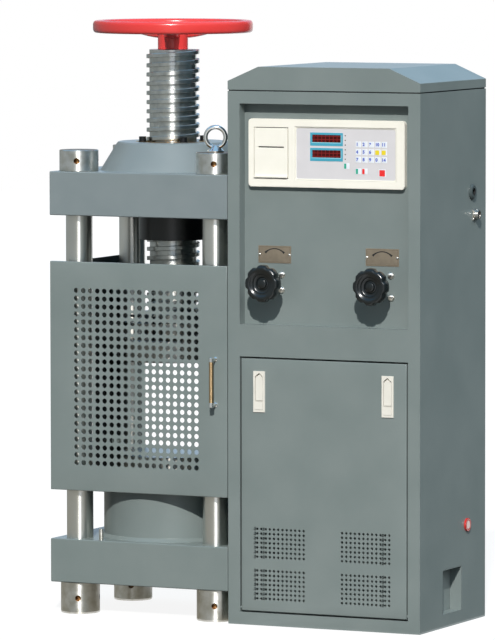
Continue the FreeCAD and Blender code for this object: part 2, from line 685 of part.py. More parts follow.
# Lid: one folded prism with a flat ridge, open below
lid = new_body("cabinet_lid", cab_x, front_y + cab_d, cab_h + seam / 2)
lip = lid_lip - seam / 2
ridge = lid_ridge - seam / 2
roof = [(0, 0), (cab_w, 0), (cab_w, lip), (cab_w - lid_slope, ridge), (lid_slope, ridge), (0, lip)]
pad(lid, loop(lid, "XZ_Plane", roof), cab_d)
sk = loop(lid, "XZ_Plane", [(skin, -1), (cab_w - skin, -1), (cab_w - skin, lip - skin),
                            (cab_w - lid_slope - 1, ridge - skin), (lid_slope + 1, ridge - skin),
                            (skin, lip - skin)], cab_d - skin)
pocket(lid, sk, cab_d - 2 * skin)
seal_h = 8
seal_in = skin + 6
strip = new_body("lid_seal", cab_x, front_y, cab_h - seal_h)
sk = boxes(strip, "XY_Plane", [(skin, skin, cab_w - skin, cab_d - skin),
                               (seal_in, seal_in, cab_w - seal_in, cab_d - seal_in)])
pad(strip, sk, seal_h + seam / 2)

# Hand pocket sunk in the right side
cup = new_body("side_pocket", cab_x + cab_w, front_y, 0)
pad(cup, boxes(cup, "YZ_Plane", [(cup_y, cup_z, cup_y + cup_w, cup_z + cup_h)], -cup_deep), cup_deep)
cup_in = (cup_y + skin, cup_z + skin, cup_y + cup_w - skin, cup_z + cup_h - skin)
pocket(cup, boxes(cup, "YZ_Plane", [cup_in]), cup_deep - skin)

# Service door: a folded pan with two lock holes; it tips out about its lower front edge
door_x0 = side_rail + door_gap
door_x1 = cab_w - side_rail - door_gap
door_z0 = door_foot + door_gap
door_z1 = door_top - door_gap
door = new_body("service_door", cab_x, front_y + door_deep, 0)
pad(door, boxes(door, "XZ_Plane", [(door_x0, door_z0, door_x1, door_z1)]), door_deep)
pocket(door, boxes(door, "XZ_Plane", [(door_x0 + skin, door_z0 + skin, door_x1 - skin, door_z1 - skin)]),
       door_deep - skin, True)
mids = [door_x0 + lock_in, door_x1 - lock_in]
lock_z = door_z1 - lock_down
w = lock_w / 2
h = lock_h / 2
rim_w = 3
lock_holes = [(m - w + rim_w, lock_z - h + rim_w, m + w - rim_w, lock_z + h - rim_w) for m in mids]
pocket(door, boxes(door, "XZ_Plane", lock_holes, door_deep), skin + 1)
pocket(door, rings(door, "YZ_Plane", [(hinge_in - door_deep, hinge_up, pin_r + 0.3)], cab_w), cab_w)

# Flush locks: housing with a raised rim, a lever hinged near its pointed top, a push button below it
rim_out = 2.5
case_deep = 14
cut_deep = 9
case = new_body("lock_housings", cab_x, front_y + case_deep, lock_z)
bodies = [(m - w + rim_w, -h + rim_w, m + w - rim_w, h - rim_w) for m in mids]
pad(case, boxes(case, "XZ_Plane", bodies), case_deep)
pad(case, boxes(case, "XZ_Plane", [(m - w, -h, m + w, h) for m in mids], case_deep), rim_out)
for m in mids:
    cut = [(m - w + 4, -h + 24), (m + w - 4, -h + 24), (m + w - 4, h - 12), (m, h - 4), (m - w + 4, h - 12)]
    pocket(case, loop(case, "XZ_Plane", cut, case_deep + rim_out), cut_deep)
wells = [(m - w + 4, -h + 5, m + w - 4, -h + 23) for m in mids]
pocket(case, boxes(case, "XZ_Plane", wells, case_deep + rim_out), cut_deep)
pivot_up = h - 12
pivot_in = 2.3
for m in mids:
    pad(case, rings(case, "YZ_Plane", [(pivot_in - case_deep, pivot_up, 1.2)], m - w + 4), lock_w - 8)
for side, m in zip(("left", "right"), mids):
    lever = new_body("lock_lever_" + side, cab_x + m, front_y, lock_z)
    shape = [(-w + 5, -h + 25), (w - 5, -h + 25), (w - 5, h - 14.5), (0, h - 7), (-w + 5, h - 14.5)]
    pad(lever, loop(lever, "XZ_Plane", shape), 1.5)
    pad(lever, boxes(lever, "XZ_Plane", [(-4, pivot_up - 3, 4, pivot_up + 3)], -4.5), 4.5)
    pocket(lever, rings(lever, "YZ_Plane", [(pivot_in, pivot_up, 1.5)], 5), 10)
    button = new_body("lock_button_" + side, cab_x + m, front_y + 3, lock_z)
    pad(button, boxes(button, "XZ_Plane", [(-w + 4.35, -h + 5.35, w - 4.35, -h + 22.65)]), 6.5)

# Instrument bezel, membrane panel, displays and keys
bezel = new_body("instrument_bezel", cab_x, front_y + recess_deep, 0)
pad(bezel, boxes(bezel, "XZ_Plane", [(bez_x0, bez_z0, bez_x0 + bezel_w, bez_z0 + bezel_h)]), bezel_out)
keypad_z0 = bezel_z - keypad_h / 2
keypad_z1 = bezel_z + keypad_h / 2
panel_in = 3
pocket(bezel, boxes(bezel, "XZ_Plane", [(keypad_x0, keypad_z0, keypad_x1, keypad_z1)], bezel_out), panel_in)
pr_x0 = printer_x - printer_w / 2
pr_z0 = bezel_z - printer_h / 2
slack = 1.5
port = (pr_x0 - slack, pr_z0 - slack, pr_x0 + printer_w + slack, pr_z0 + printer_h + slack)
pocket(bezel, boxes(bezel, "XZ_Plane", [port], bezel_out), bezel_out + 1)
cover_pin = (1.5 - bezel_out, pr_z0 + printer_h - 2.5, 1.2)
pad(bezel, rings(bezel, "YZ_Plane", [cover_pin], port[0]), slack + 3)
pad(bezel, rings(bezel, "YZ_Plane", [cover_pin], pr_x0 + printer_w - 3), slack + 3)
doc.recompute()
round_edges(bezel, bezel.Tip, lambda e: runs_along(e, Y_DIR) and (
    abs(e.Vertexes[0].Z - bez_z0.v) < 0.01 or abs(e.Vertexes[0].Z - bez_z0.v - bezel_h.v) < 0.01), 8)
face_y = front_y + recess_deep - bezel_out
panel = new_body("membrane_panel", cab_x, face_y + panel_in, 0)
panel_out = 0.8
film = (keypad_x0 + 0.5, keypad_z0 + 0.5, keypad_x1 - 0.5, keypad_z1 - 0.5)
pad(panel, boxes(panel, "XZ_Plane", [film]), panel_out)
panel_y = face_y + panel_in - panel_out
disp_x0 = keypad_x0 + disp_in
disp_h = 28
disp_rows = (bezel_z - 1.5, bezel_z + 31)
frames = new_body("display_frames", cab_x, panel_y, 0)
windows = new_body("display_windows", cab_x, panel_y, 0)
disp_x1 = disp_x0 + disp_w
sk = boxes(frames, "XZ_Plane", [(disp_x0, z - disp_h / 2, disp_x1, z + disp_h / 2) for z in disp_rows])
win = [(disp_x0 + 5, z - 6.5, disp_x1 - 5, z + 9.5) for z in disp_rows]
for r in win:
    draw_box(sk, *r)
pad(frames, sk, 0.5)
pad(windows, boxes(windows, "XZ_Plane", win), 0.3)
key = 6.2
key_x0 = disp_x1 + keys_in
key_rows = (bezel_z + 21.5, bezel_z + 5.3, bezel_z - 10.8)
grid = [(key_x0 + key_step * c, z) for z in key_rows for c in range(key_columns)]
low_z = bezel_z - 35.5
small = grid + [(key_x0 - 27.2, low_z + 10.5), (key_x0, low_z), (key_x0 + key_step, low_z)]
keys = new_body("membrane_keys", cab_x, panel_y, 0)
places = [(x, z, key) for x, z in small] + [(key_x0 + 55.5, low_z - 3, 8)]
pad(keys, boxes(keys, "XZ_Plane", [(x - k, z - k, x + k, z + k) for x, z, k in places]), 0.6)

# Printer: a case behind the bezel, a paper roll on its pin and a cover hinged at the top
case_len = 52
paper_w = 57
roll_z = bezel_z - 18
inside = (pr_x0, pr_z0, pr_x0 + printer_w, pr_z0 + printer_h)
printer = new_body("printer_case", cab_x, front_y + recess_deep + case_len, 0)
pad(printer, boxes(printer, "XZ_Plane", [port]), case_len - 0.2)
pocket(printer, boxes(printer, "XZ_Plane", [inside], case_len + 1), case_len - 1)
pad(printer, rings(printer, "YZ_Plane", [(-case_len / 2, roll_z, 4)], pr_x0 - 1), printer_w + 2)
roll = new_body("paper_roll", cab_x + printer_x - paper_w / 2, front_y + recess_deep + case_len / 2, roll_z)
pad(roll, rings(roll, "YZ_Plane", [(0, 0, 20)]), paper_w)
pocket(roll, rings(roll, "YZ_Plane", [(0, 0, 4.3)], paper_w + 1), paper_w + 2)
lid_door = new_body("printer_cover", cab_x, face_y + 4, 0)
pad(lid_door, boxes(lid_door, "XZ_Plane", [inside]), 5)
pad(lid_door, boxes(lid_door, "XZ_Plane", [(pr_x0, pr_z0, pr_x0 + printer_w, pr_z0 + 4)], 5), 3)
slot = (printer_x - 30.5, bezel_z + 11, printer_x + 30.5, bezel_z + 13.5)
pocket(lid_door, boxes(lid_door, "XZ_Plane", [slot], 5), 6)
pocket(lid_door, rings(lid_door, "YZ_Plane", [(-2.5, pr_z0 + printer_h - 2.5, 1.5)], pr_x0 + printer_w + 1),
       printer_w + 2)

# Valve station: block behind the recess, bonnet through it, fluted knob on a spindle
flutes = 8
valve_at = [cab_w / 2 - valve_dx / 2, cab_w / 2 + valve_dx / 2]
block_len = size("block_len", 60, "valve block depth")
block_h = size("block_h", 80, "valve block height")
block_end = size("block_end", 35, "valve block past each valve axis")
stem_r = 6
stem_in = 40
block = new_body("valve_block", cab_x, front_y + recess_deep + skin + block_len, 0)
outside = (valve_at[0] - block_end, valve_z - block_h / 2, valve_at[1] + block_end, valve_z + block_h / 2)
pad(block, boxes(block, "XZ_Plane", [outside]), block_len)
stem_bores = [(x, valve_z, stem_r + fit_gap) for x in valve_at]
pocket(block, rings(block, "XZ_Plane", stem_bores, block_len), stem_in + 2)
bonnets = []
knob_len = 30
bonnet_len = knob_out + recess_deep - knob_len - fit_gap
profile = [(stem_r + fit_gap.v, -2), (13, -2), (13, 0), (23, 0), (23, 8), (19, 10), (19, 22), (22, 24),
           (22, bonnet_len.v - 3), (20, bonnet_len.v), (stem_r + fit_gap.v, bonnet_len.v)]
for s in (-1, 1):
    wire = Part.makePolygon([Vector(r, 0, z) for r, z in profile + profile[:1]])
    bonnet = Part.Face(wire).revolve(Vector(0, 0, 0), Z_DIR, 360)
    bonnet.rotate(Vector(0, 0, 0), X_DIR, 90)
    bonnet.translate(Vector(s * valve_dx.v / 2, 0, 0))
    bonnets.append(bonnet)
solid_group("valve_bonnets", bonnets, valve_x, front_y + recess_deep, valve_z)
for side, s in (("left", -1), ("right", 1)):
    vx = valve_x + s * valve_dx / 2
    knob = new_body("valve_knob_" + side, vx, front_y - knob_out, valve_z)
    r = knob_d / 2
    turned(knob, [(stem_r, 3), (12, 4), (14, 1.5), (17, 1.5), (19, 5), (r - 10, 3), (r - 7, 0), (r - 4, 0.5),
                  (r, 5), (r, 19), (r - 4, 24), (26, 26), (20, knob_len), (stem_r, knob_len)], plane="XY_Plane")
    flute_at = r + 11.5
    turn = math.pi / flutes
    f = pocket(knob, rings(knob, "XZ_Plane", [(flute_at * math.cos(turn), flute_at * math.sin(turn), 16)], 1),
               knob_len - 2)
    polar(knob, [f], "Y_Axis", flutes)
    stem = rings(knob, "XZ_Plane", [(0, 0, stem_r)], -2)
    pad(knob, stem, knob_out + recess_deep + stem_in - 2, True)
tag_up = size("tag_up", 59, "label plate centre above the valve axis")
tag_w = size("tag_w", 77, "label plate width")
tag_h = size("tag_h", 37, "label plate height")
plates = new_body("valve_label_plates", valve_x, front_y + recess_deep, valve_z + tag_up)
tag_mids = [s * valve_dx / 2 for s in (-1, 1)]
tags = [(m - tag_w / 2, -tag_h / 2, m + tag_w / 2, tag_h / 2) for m in tag_mids]
pad(plates, boxes(plates, "XZ_Plane", tags), 0.8)

# Right side fittings: cable gland, signal connector, oil sight glass
entry = new_body("cable_gland", cab_x + cab_w, front_y + side_port_y, gland_z)
turned(entry, [(-6, 8), (-6, 11.5), (0, 11.5), (0, 16.5), (3, 16.5), (6, 13), (6, 8)], plane="XY_Plane",
       axis="H_Axis")
plug = new_body("signal_connector", cab_x + cab_w, front_y + plug_y, plug_z)
pad(plug, boxes(plug, "YZ_Plane", [(-12, -12, 12, 12)]), 2.5)
pad(plug, rings(plug, "YZ_Plane", [(0, 0, 9.5)], 2.5), plug_out - 2.5)
pocket(plug, rings(plug, "YZ_Plane", [(0, 0, 7.5)], plug_out), plug_out - 4)
sight = new_body("sight_glass", cab_x + cab_w, front_y + sight_y, sight_z)
pad(sight, rings(sight, "YZ_Plane", [(0, 0, 9.5)], -6), 6)
pad(sight, rings(sight, "YZ_Plane", [(0, 0, 14)]), 4)
pocket(sight, rings(sight, "YZ_Plane", [(0, 0, 9)], 4), 2)

# Inside the cabinet: oil tank, motor with its coupling, pump, and the pressure pipe to the cylinder
tank_w = 324
tank_d = cab_d - tank_rear - 68
tank_x = cab_x + cab_w - tank_side - tank_w
tank = new_body("oil_tank", tank_x, front_y + cab_d - tank_rear, skin)
pad(tank, boxes(tank, "XY_Plane", [(0, -tank_d, tank_w, 0)]), tank_h)
drive_y = front_y + cab_d - tank_rear - tank_d / 2
drive_up = 70
drive_z = skin + tank_h + drive_up
motor_len = size("motor_len", 130, "pump motor length")
motor_d = size("motor_d", 124, "pump motor diameter")
motor_x = tank_x - 30
motor = new_body("pump_motor", motor_x, drive_y, drive_z)
sole = motor_d / 2 - 2
pad(motor, boxes(motor, "XY_Plane", [(motor_len - 100, -sole, motor_len - 10, sole)], -drive_up), 8)
pad(motor, rings(motor, "YZ_Plane", [(0, 0, motor_d / 2)]), motor_len)
shaft_r = 10
hub_len = 36
shaft_len = 81
shaft = new_body("motor_coupling", motor_x + motor_len, drive_y, drive_z)
pad(shaft, rings(shaft, "YZ_Plane", [(0, 0, shaft_r)], 0.5), shaft_len - 1)
pad(shaft, rings(shaft, "YZ_Plane", [(0, 0, 26)], (shaft_len - hub_len) / 2), hub_len)
pump = new_body("oil_pump", motor_x + motor_len + shaft_len, drive_y, drive_z)
pad(pump, boxes(pump, "YZ_Plane", [(-pump_w / 2, -pump_w / 2, pump_w / 2, pump_w / 2)]), pump_w)
pad(pump, boxes(pump, "YZ_Plane", [(-pump_w / 2, -drive_up, pump_w / 2, 1 - pump_w / 2)], 5), pump_w - 30)
pipe = new_body("pressure_pipe", axis_x, front_y + pipe_y, pipe_z)
reach_in = plate_w / 2 + plate_gap + 30
pad(pipe, rings(pipe, "YZ_Plane", [(0, 0, pipe_r)], port_in), reach_in - port_in)

doc.recompute()

# Write one STEP file for every piece, after checking each one
os.makedirs("parts", exist_ok=True)
pieces = [o for o in doc.Objects if o.TypeId == "PartDesign::Body"]
pieces += [o for o in doc.Objects if o.TypeId == "Part::Feature"]
for o in doc.Objects:
    if "Invalid" in o.State or "Error" in o.State:
        raise RuntimeError("%s is not valid: %s" % (o.Name, o.State))
for o in pieces:
    if o.Shape.isNull() or not o.Shape.isValid() or o.Shape.Volume < 1:
        raise RuntimeError("%s has no valid shape" % o.Label)
    o.Shape.exportStep("parts/%s.step" % o.Label)
    b = o.Shape.BoundBox
    print("%-22s x %7.1f %7.1f  y %7.1f %7.1f  z %7.1f %7.1f  vol %.0f" % (
        o.Label, b.XMin, b.XMax, b.YMin, b.YMax, b.ZMin, b.ZMax, o.Shape.Volume))
print("%d pieces written" % len(pieces))
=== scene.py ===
# %% [markdown]
# # A compression testing machine
# Concrete cubes are crushed in this machine: four steel columns tie a base plate to a crosshead,
# a hydraulic ram pushes up, and a big screw with a red handwheel sets the height. This lesson
# dresses the CAD model in paint, ground steel and plastic, and adds what the CAD leaves plain,
# such as the screw's thread and the round holes of the guard.

import json

import bmesh
import bpy
import numpy as np
from mathutils import Matrix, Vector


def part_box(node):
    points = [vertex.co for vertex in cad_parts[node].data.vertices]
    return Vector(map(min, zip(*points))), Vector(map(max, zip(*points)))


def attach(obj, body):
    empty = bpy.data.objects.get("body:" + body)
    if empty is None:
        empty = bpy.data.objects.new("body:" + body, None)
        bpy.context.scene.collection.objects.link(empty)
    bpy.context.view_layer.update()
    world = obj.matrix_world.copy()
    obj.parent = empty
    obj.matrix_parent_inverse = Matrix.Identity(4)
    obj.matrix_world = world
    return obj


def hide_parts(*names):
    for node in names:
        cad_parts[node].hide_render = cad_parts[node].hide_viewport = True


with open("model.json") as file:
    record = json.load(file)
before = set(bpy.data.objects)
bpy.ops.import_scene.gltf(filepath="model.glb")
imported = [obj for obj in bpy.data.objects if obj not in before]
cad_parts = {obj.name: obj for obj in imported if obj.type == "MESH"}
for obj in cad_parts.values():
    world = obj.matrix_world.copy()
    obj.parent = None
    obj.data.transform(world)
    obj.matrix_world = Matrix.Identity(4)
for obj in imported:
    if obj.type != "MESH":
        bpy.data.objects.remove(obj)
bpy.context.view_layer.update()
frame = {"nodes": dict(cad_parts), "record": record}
mm = 0.001

# %% [markdown]
# ## The camera
# The photograph was taken from about twelve and a half metres away with a long lens, from the
# right and a little above the machine's top. The place and the turn of the camera could be found
# by eye, but here they come from the corners of the plates and the cabinet, whose real sizes are
# known.


# %% Camera
def aimed(azimuth, height, roll=0.0):
    """The turn of a camera or lamp that looks in from an azimuth, counted from the front towards
    the right, and a height, both in degrees."""
    a, h, r = np.radians([azimuth, height, roll])
    back = np.array([np.sin(a) * np.cos(h), -np.cos(a) * np.cos(h), np.sin(h)])
    level = np.array([np.cos(a), np.sin(a), 0.0])
    upright = np.cross(back, level)
    right = np.cos(r) * level + np.sin(r) * upright
    up = np.cos(r) * upright - np.sin(r) * level
    return Matrix(np.column_stack([right, up, back]).tolist()).to_4x4()


yaw, pitch, roll = 25.6246, 4.33296, -0.07331
camera_place = (5.41118, -11.36953, 1.59827)
sensor_mm, focal_px, photo_height_px = 36, 5837.8, 640
camera = bpy.data.objects.new("camera", bpy.data.cameras.new("camera"))
camera.data.sensor_width = sensor_mm
camera.data.lens = sensor_mm * focal_px / photo_height_px
camera.data.clip_end = 100
bpy.context.scene.collection.objects.link(camera)
camera.matrix_world = Matrix.Translation(camera_place) @ aimed(yaw, pitch, roll)
bpy.context.scene.camera = camera
bpy.context.scene.view_settings.view_transform = "Standard"
print("lens in mm:", round(camera.data.lens, 1))

# %% [markdown]
# ## Colours and nodes
# A colour is written as the hex value that a screen shows and turned to the linear value that
# the renderer works with. Patterns are scaled from real sizes in millimetres.


# %% Colour and node helpers
def linear(code):
    """Hex colour to linear RGBA: each channel, as a share of 255, goes through the sRGB curve."""
    s = np.array([int(code[k : k + 2], 16) for k in (1, 3, 5)]) / 255
    lin = np.where(s <= 0.04045, s / 12.92, ((s + 0.055) / 1.055) ** 2.4)
    return (*lin.tolist(), 1.0)


def add_node(tree, kind, settings=(), links=()):
    """Adds a shader node with its settings; links maps its inputs to pairs (node, output)."""
    n = tree.nodes.new("ShaderNode" + kind)
    for key, value in dict(settings).items():
        if isinstance(key, int) or key in n.inputs:
            n.inputs[key].default_value = value
        else:
            setattr(n, key, value)
    for key, (source, output) in dict(links).items():
        tree.links.new(source.outputs[output], n.inputs[key])
    return n


def feed(node, socket, source, output=0):
    """Links one more input of a node that is already there."""
    node.id_data.links.new(source.outputs[output], node.inputs[socket])


def empty_tree(owner, kind="OutputMaterial"):
    """Clears the nodes of a material or a world; gives the tree and its new output node."""
    owner.use_nodes = True
    owner.node_tree.nodes.clear()
    return owner.node_tree, add_node(owner.node_tree, kind)


def new_finish(name, **shader):
    """A material with one Principled shader; its sockets are given by name, _ for a space."""
    mat = bpy.data.materials.new(name)
    tree, out = empty_tree(mat)
    bsdf = add_node(tree, "BsdfPrincipled", {k.replace("_", " "): v for k, v in shader.items()})
    feed(out, 0, bsdf)
    return mat, tree, bsdf


def ramp_node(tree, low, high, colours, links):
    """A colour ramp between two places, with one hex colour at each."""
    n = add_node(tree, "ValToRGB", links=links)
    for stop, place, code in zip(n.color_ramp.elements, (low, high), colours):
        stop.position = place
        stop.color = linear(code)
    return n


def on_piece(tree):
    """The link to the point on the piece, in metres from the machine's own origin."""
    return add_node(tree, "TexCoord"), "Object"


def noise(tree, size, detail):
    """A cloudy pattern whose lumps are about size mm wide."""
    return add_node(tree, "TexNoise", {"Scale": 1000 / size, "Detail": detail},
                    {"Vector": on_piece(tree)})


def mottled(tree, bsdf, size, detail, colours, low=0.3, high=0.7):
    """Colours a finish with a slow change between two tones, and gives the pattern back."""
    cloud = noise(tree, size, detail)
    feed(bsdf, "Base Color", ramp_node(tree, low, high, colours, {"Fac": (cloud, 0)}))
    return cloud


finishes = {}
print("helpers ready")

# %% [markdown]
# ## Machine enamel
# Plates, cabinet and guard wear sprayed grey-green enamel, which dries to a faint orange peel and
# is never quite one colour over a large sheet. Folded sheet has a small round at each edge that
# catches the light. The edges could be modelled, but the Bevel node gives the same round on the
# CAD's sharp edges at no cost in faces.


# %% Enamel
def enamel(name, dark, light, roughness=0.33, edge=1.2, peel=0.3):
    """Sprayed enamel: a slow tone change over 120 mm, orange peel 2.5 mm wide, rounded edges."""
    mat, tree, bsdf = new_finish(name, Roughness=roughness)
    mottled(tree, bsdf, 120, 3.0, (dark, light))
    edges = add_node(tree, "Bevel", {"samples": 4, "Radius": edge * mm})
    bump = add_node(tree, "Bump", {"Strength": peel, "Distance": 0.02 * mm},
                    {"Height": (noise(tree, 2.5, 1.0), 0), "Normal": (edges, 0)})
    feed(bsdf, "Normal", bump)
    return mat


machine_grey = ("#788382", "#808a89")
finishes["grey_paint"] = enamel("machine_enamel_grey", *machine_grey)
finishes["red_paint"] = enamel("gloss_enamel_red", "#e03b39", "#e64542", 0.24, 1.5, 0.1)
finishes["motor_paint"] = enamel("motor_enamel_blue_grey", "#55636d", "#5e6c76", 0.5)
finishes["tank_steel"] = enamel("tank_primer", "#6f7573", "#787e7c", 0.6)
print("enamels:", sorted(finishes))


# %% [markdown]
# The crosshead is the same enamel on a casting, and its boss below the slab is painted near black
# as painted shade for the deep shadow under the slab. The guard's side cover is enamelled outside,
# and its inside face is painted dark grey as painted shade for the shadow it lies in.


# %% Enamel with painted shade
def overpaint(mat, code, mask):
    """Puts a second colour on a finish where the mask node gives one."""
    bsdf = next(n for n in mat.node_tree.nodes if n.type == "BSDF_PRINCIPLED")
    tone = bsdf.inputs["Base Color"].links[0].from_node
    both = add_node(mat.node_tree, "Mix", {"data_type": "RGBA", 7: linear(code)},
                    {0: (mask, 0), 6: (tone, 0)})
    feed(bsdf, "Base Color", both, 2)


def casting_enamel(slab_foot):
    """Enamel above the slab's underside, near black below it as painted shade; the split is a step
    in Z.
    """
    mat = enamel("machine_enamel_casting_painted_shade", "#7c878a", "#858f92", 0.34, 1.5)
    tree = mat.node_tree
    place = add_node(tree, "SeparateXYZ", links={"Vector": on_piece(tree)})
    below = add_node(tree, "Math", {"operation": "LESS_THAN", 1: slab_foot}, {0: (place, "Z")})
    # painted shade: the boss below the slab is near black for the shadow under it
    overpaint(mat, "#0d0f0e", below)
    return mat


def one_sided(name, along, code, steep=0.7):
    """Enamel, and another colour where the face looks along one axis of the piece."""
    mat = enamel(name, *machine_grey)
    tree = mat.node_tree
    normal = (add_node(tree, "NewGeometry"), "True Normal")
    facing = add_node(tree, "VectorMath", {"operation": "DOT_PRODUCT", 1: along}, {0: normal})
    inner = add_node(tree, "Math", {"operation": "GREATER_THAN", 1: steep}, {0: (facing, "Value")})
    overpaint(mat, code, inner)
    return mat


slab_above_base = 704.5
finishes["head_paint"] = casting_enamel(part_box("base_plate")[1].z + slab_above_base * mm)
# painted shade: the cover's inside face, facing +X, is dark grey for the shadow it lies in
side_cover_painted_shade = one_sided("machine_enamel_painted_shade_inside", (1, 0, 0), "#2c3233")
print("finishes with painted shade made")

# %% [markdown]
# ## Steels
# A lathe or a grinder leaves fine rings round a part, which smear every reflection into a streak
# along its length. The Principled shader does this when it is told the direction of the smear,
# which is the turning axis itself; a fine wave in the height adds the rings that show in a close
# view. The real rings are about 0.3 mm apart and are drawn 0.8 to 1.4 mm apart so that they show.


# %% Steel
def ringed_steel(name, dark, light, roughness, pitch, depth, axis="Z", stains=60.0):
    """Bright steel with machining rings: bands across one axis, a stain pattern stains mm wide,
    and a change from rough to smooth that follows the stains."""
    mat, tree, bsdf = new_finish(name, Metallic=1.0, Anisotropic=0.85)
    feed(bsdf, "Tangent", add_node(tree, "CombineXYZ", {axis: 1.0}))
    cloud = mottled(tree, bsdf, stains, 4.0, (dark, light), 0.35, 0.65)
    rough = add_node(tree, "MapRange", {"To Min": roughness - 0.05, "To Max": roughness + 0.07},
                     {"Value": (cloud, 0)})
    feed(bsdf, "Roughness", rough)
    rings = add_node(tree, "TexWave", {"bands_direction": axis, "Scale": 1000 / pitch / 10,
                                       "Distortion": 1.5, "Detail": 2.0, "Detail Scale": 3.0},
                     {"Vector": on_piece(tree)})
    bump = add_node(tree, "Bump", {"Distance": depth * mm}, {"Height": (rings, 0)})
    feed(bsdf, "Normal", bump)
    return mat


for slot_name, *recipe in (
    ("ground_steel", "ground_steel", "#d2d1cb", "#dcdbd5", 0.3, 0.9, 0.003, "Z", 90),
    ("turned_steel", "turned_steel", "#c6c4bb", "#dfdeda", 0.35, 1.2, 0.004, "Z", 18),
    ("screw_steel", "oiled_screw_steel", "#b3b5b2", "#cdcec9", 0.3, 1.0, 0.004, "Z", 18),
    ("hard_steel", "hardened_platen_steel", "#b2b1ab", "#c4c2bc", 0.32, 1.2, 0.006),
    ("bronze", "cast_bronze", "#a8814a", "#bd9659", 0.38, 1.2, 0.010),
    ("label_metal", "etched_label_aluminium", "#b8a996", "#c4b5a1", 0.6, 0.8, 0.004, "X", 12),
    ("plug_metal", "nickelled_brass", "#c9c6be", "#e4e1da", 0.38, 0.8, 0.005, "X", 9),
):
    finishes[slot_name] = ringed_steel(*recipe)
print("steels:", len(finishes))


# %% [markdown]
# The round nuts are turned with a bar in four holes, and nobody finishes the inside of such a
# hole, so it rusts. All four nuts sit at the same distance from the press axis, so |x| and |y|
# about that axis let one small test find the inside of every nut.


# %% Rust inside the bar holes
column_r, rust_reach = 29.0, 41.3


def rusty_inside(mat):
    """Rust where the distance to the nearest column axis is under rust_reach, measured in X and
    Y after the point has been folded about the press axis."""
    tree = mat.node_tree
    lo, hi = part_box("columns")
    middle, half = (lo + hi) / 2, (hi - lo) / 2
    column = (half.x - column_r * mm, half.y - column_r * mm, 0)
    link = on_piece(tree)
    for operation, value in (("SUBTRACT", (middle.x, middle.y, 0)), ("ABSOLUTE", (0, 0, 0)),
                             ("SUBTRACT", column), ("MULTIPLY", (1, 1, 0))):
        link = (add_node(tree, "VectorMath", {"operation": operation, 1: value}, {0: link}), 0)
    far = add_node(tree, "VectorMath", {"operation": "LENGTH"}, {0: link})
    inside = add_node(tree, "Math", {"operation": "LESS_THAN", 1: rust_reach * mm},
                      {0: (far, "Value")})
    overpaint(mat, "#80603f", inside)


rusty_inside(finishes["turned_steel"])
print("rust reaches", rust_reach, "mm from each column axis")

# %% [markdown]
# ## Plated and blackened metal, plastics and rubber
# The eye bolt and the sleeves of the guard's handle are plated, so they are nearly mirrors with
# faint waves from the polishing. The knobs are phenolic, pressed in a polished mould; the
# instrument case is cream ABS with a fine spark texture; the panel is a printed polyester film.


# %% Smooth and moulded finishes
def moulded(name, dark, light, roughness, grain=1.2, height=0.01, cloud=30.0, edge=0.0, **shader):
    """A moulded or plated surface: a slow tone change over cloud mm, a fine grain in the height,
    and round edges where edge isn't zero."""
    mat, tree, bsdf = new_finish(name, Roughness=roughness, **shader)
    mottled(tree, bsdf, cloud, 2.0, (dark, light))
    bump = add_node(tree, "Bump", {"Strength": 0.5, "Distance": height * mm},
                    {"Height": (noise(tree, grain, 2.0), 0)})
    if edge:
        feed(bump, "Normal", add_node(tree, "Bevel", {"samples": 4, "Radius": edge * mm}))
    feed(bsdf, "Normal", bump)
    return mat


for slot_name, *recipe in (
    ("black_plastic", "phenolic_black", "#101517", "#151b1d", 0.25, 3, 0.003),
    ("panel_film", "polyester_film_lilac_grey", "#dad7da", "#dedbde", 0.38, 1.5, 0.004),
    ("cyan_film", "printed_film_cyan", "#42a3bd", "#49a9c4", 0.38, 1.5, 0.004),
    ("white_key", "printed_key_white", "#e9eef7", "#eef2f9", 0.42, 1.5, 0.004),
    ("rubber_black", "moulded_rubber_black", "#161718", "#1e1f20", 0.62, 0.7, 0.02),
    ("sight_plastic", "sight_glass_red", "#c22a26", "#cc322e", 0.25, 2, 0.003),
    ("paper_white", "thermal_paper", "#eeece6", "#f3f1ec", 0.8, 0.5),
):
    finishes[slot_name] = moulded(*recipe)
finishes["bright_chrome"] = moulded("bright_chrome", "#d9d9d6", "#e4e4e1", 0.12, 6, Metallic=1.0)
finishes["black_oxide"] = moulded("black_oxide_steel", "#1d1f21", "#2a2c2e", 0.42, 0.8,
                                  Metallic=0.6)
finishes["cream_plastic"] = moulded("abs_cream", "#faf6ea", "#fdf9ee", 0.45, 0.9, 0.02, edge=2.5)
finishes["white_lock"] = moulded("abs_white", "#e8e4da", "#eeeae0", 0.36, 1.0, 0.006, edge=0.5)
print("finishes so far:", len(finishes))


# %% [markdown]
# The display windows are dark red acrylic over seven-segment digits that are off. Unlit
# segments still show as faint lines, so a brick pattern stands for them.


# %% Display window
def display_acrylic(pitch=9):
    """Dark red acrylic; a Brick texture gives the unlit digits, pitch mm apart, a little paler."""
    mat, tree, bsdf = new_finish("acrylic_dark_red", Roughness=0.3, IOR=1.2)
    spin = add_node(tree, "Mapping", {"Rotation": (np.pi / 2, 0, 0)}, {"Vector": on_piece(tree)})
    pattern = {"offset": 0.0, "Scale": 1000 / pitch, "Mortar Size": 0.09, "Brick Width": 1.0,
               "Row Height": 0.8, "Color1": linear("#431110"), "Color2": linear("#4c1412"),
               "Mortar": linear("#842625")}
    feed(bsdf, "Base Color", add_node(tree, "TexBrick", pattern, {"Vector": (spin, 0)}))
    return mat


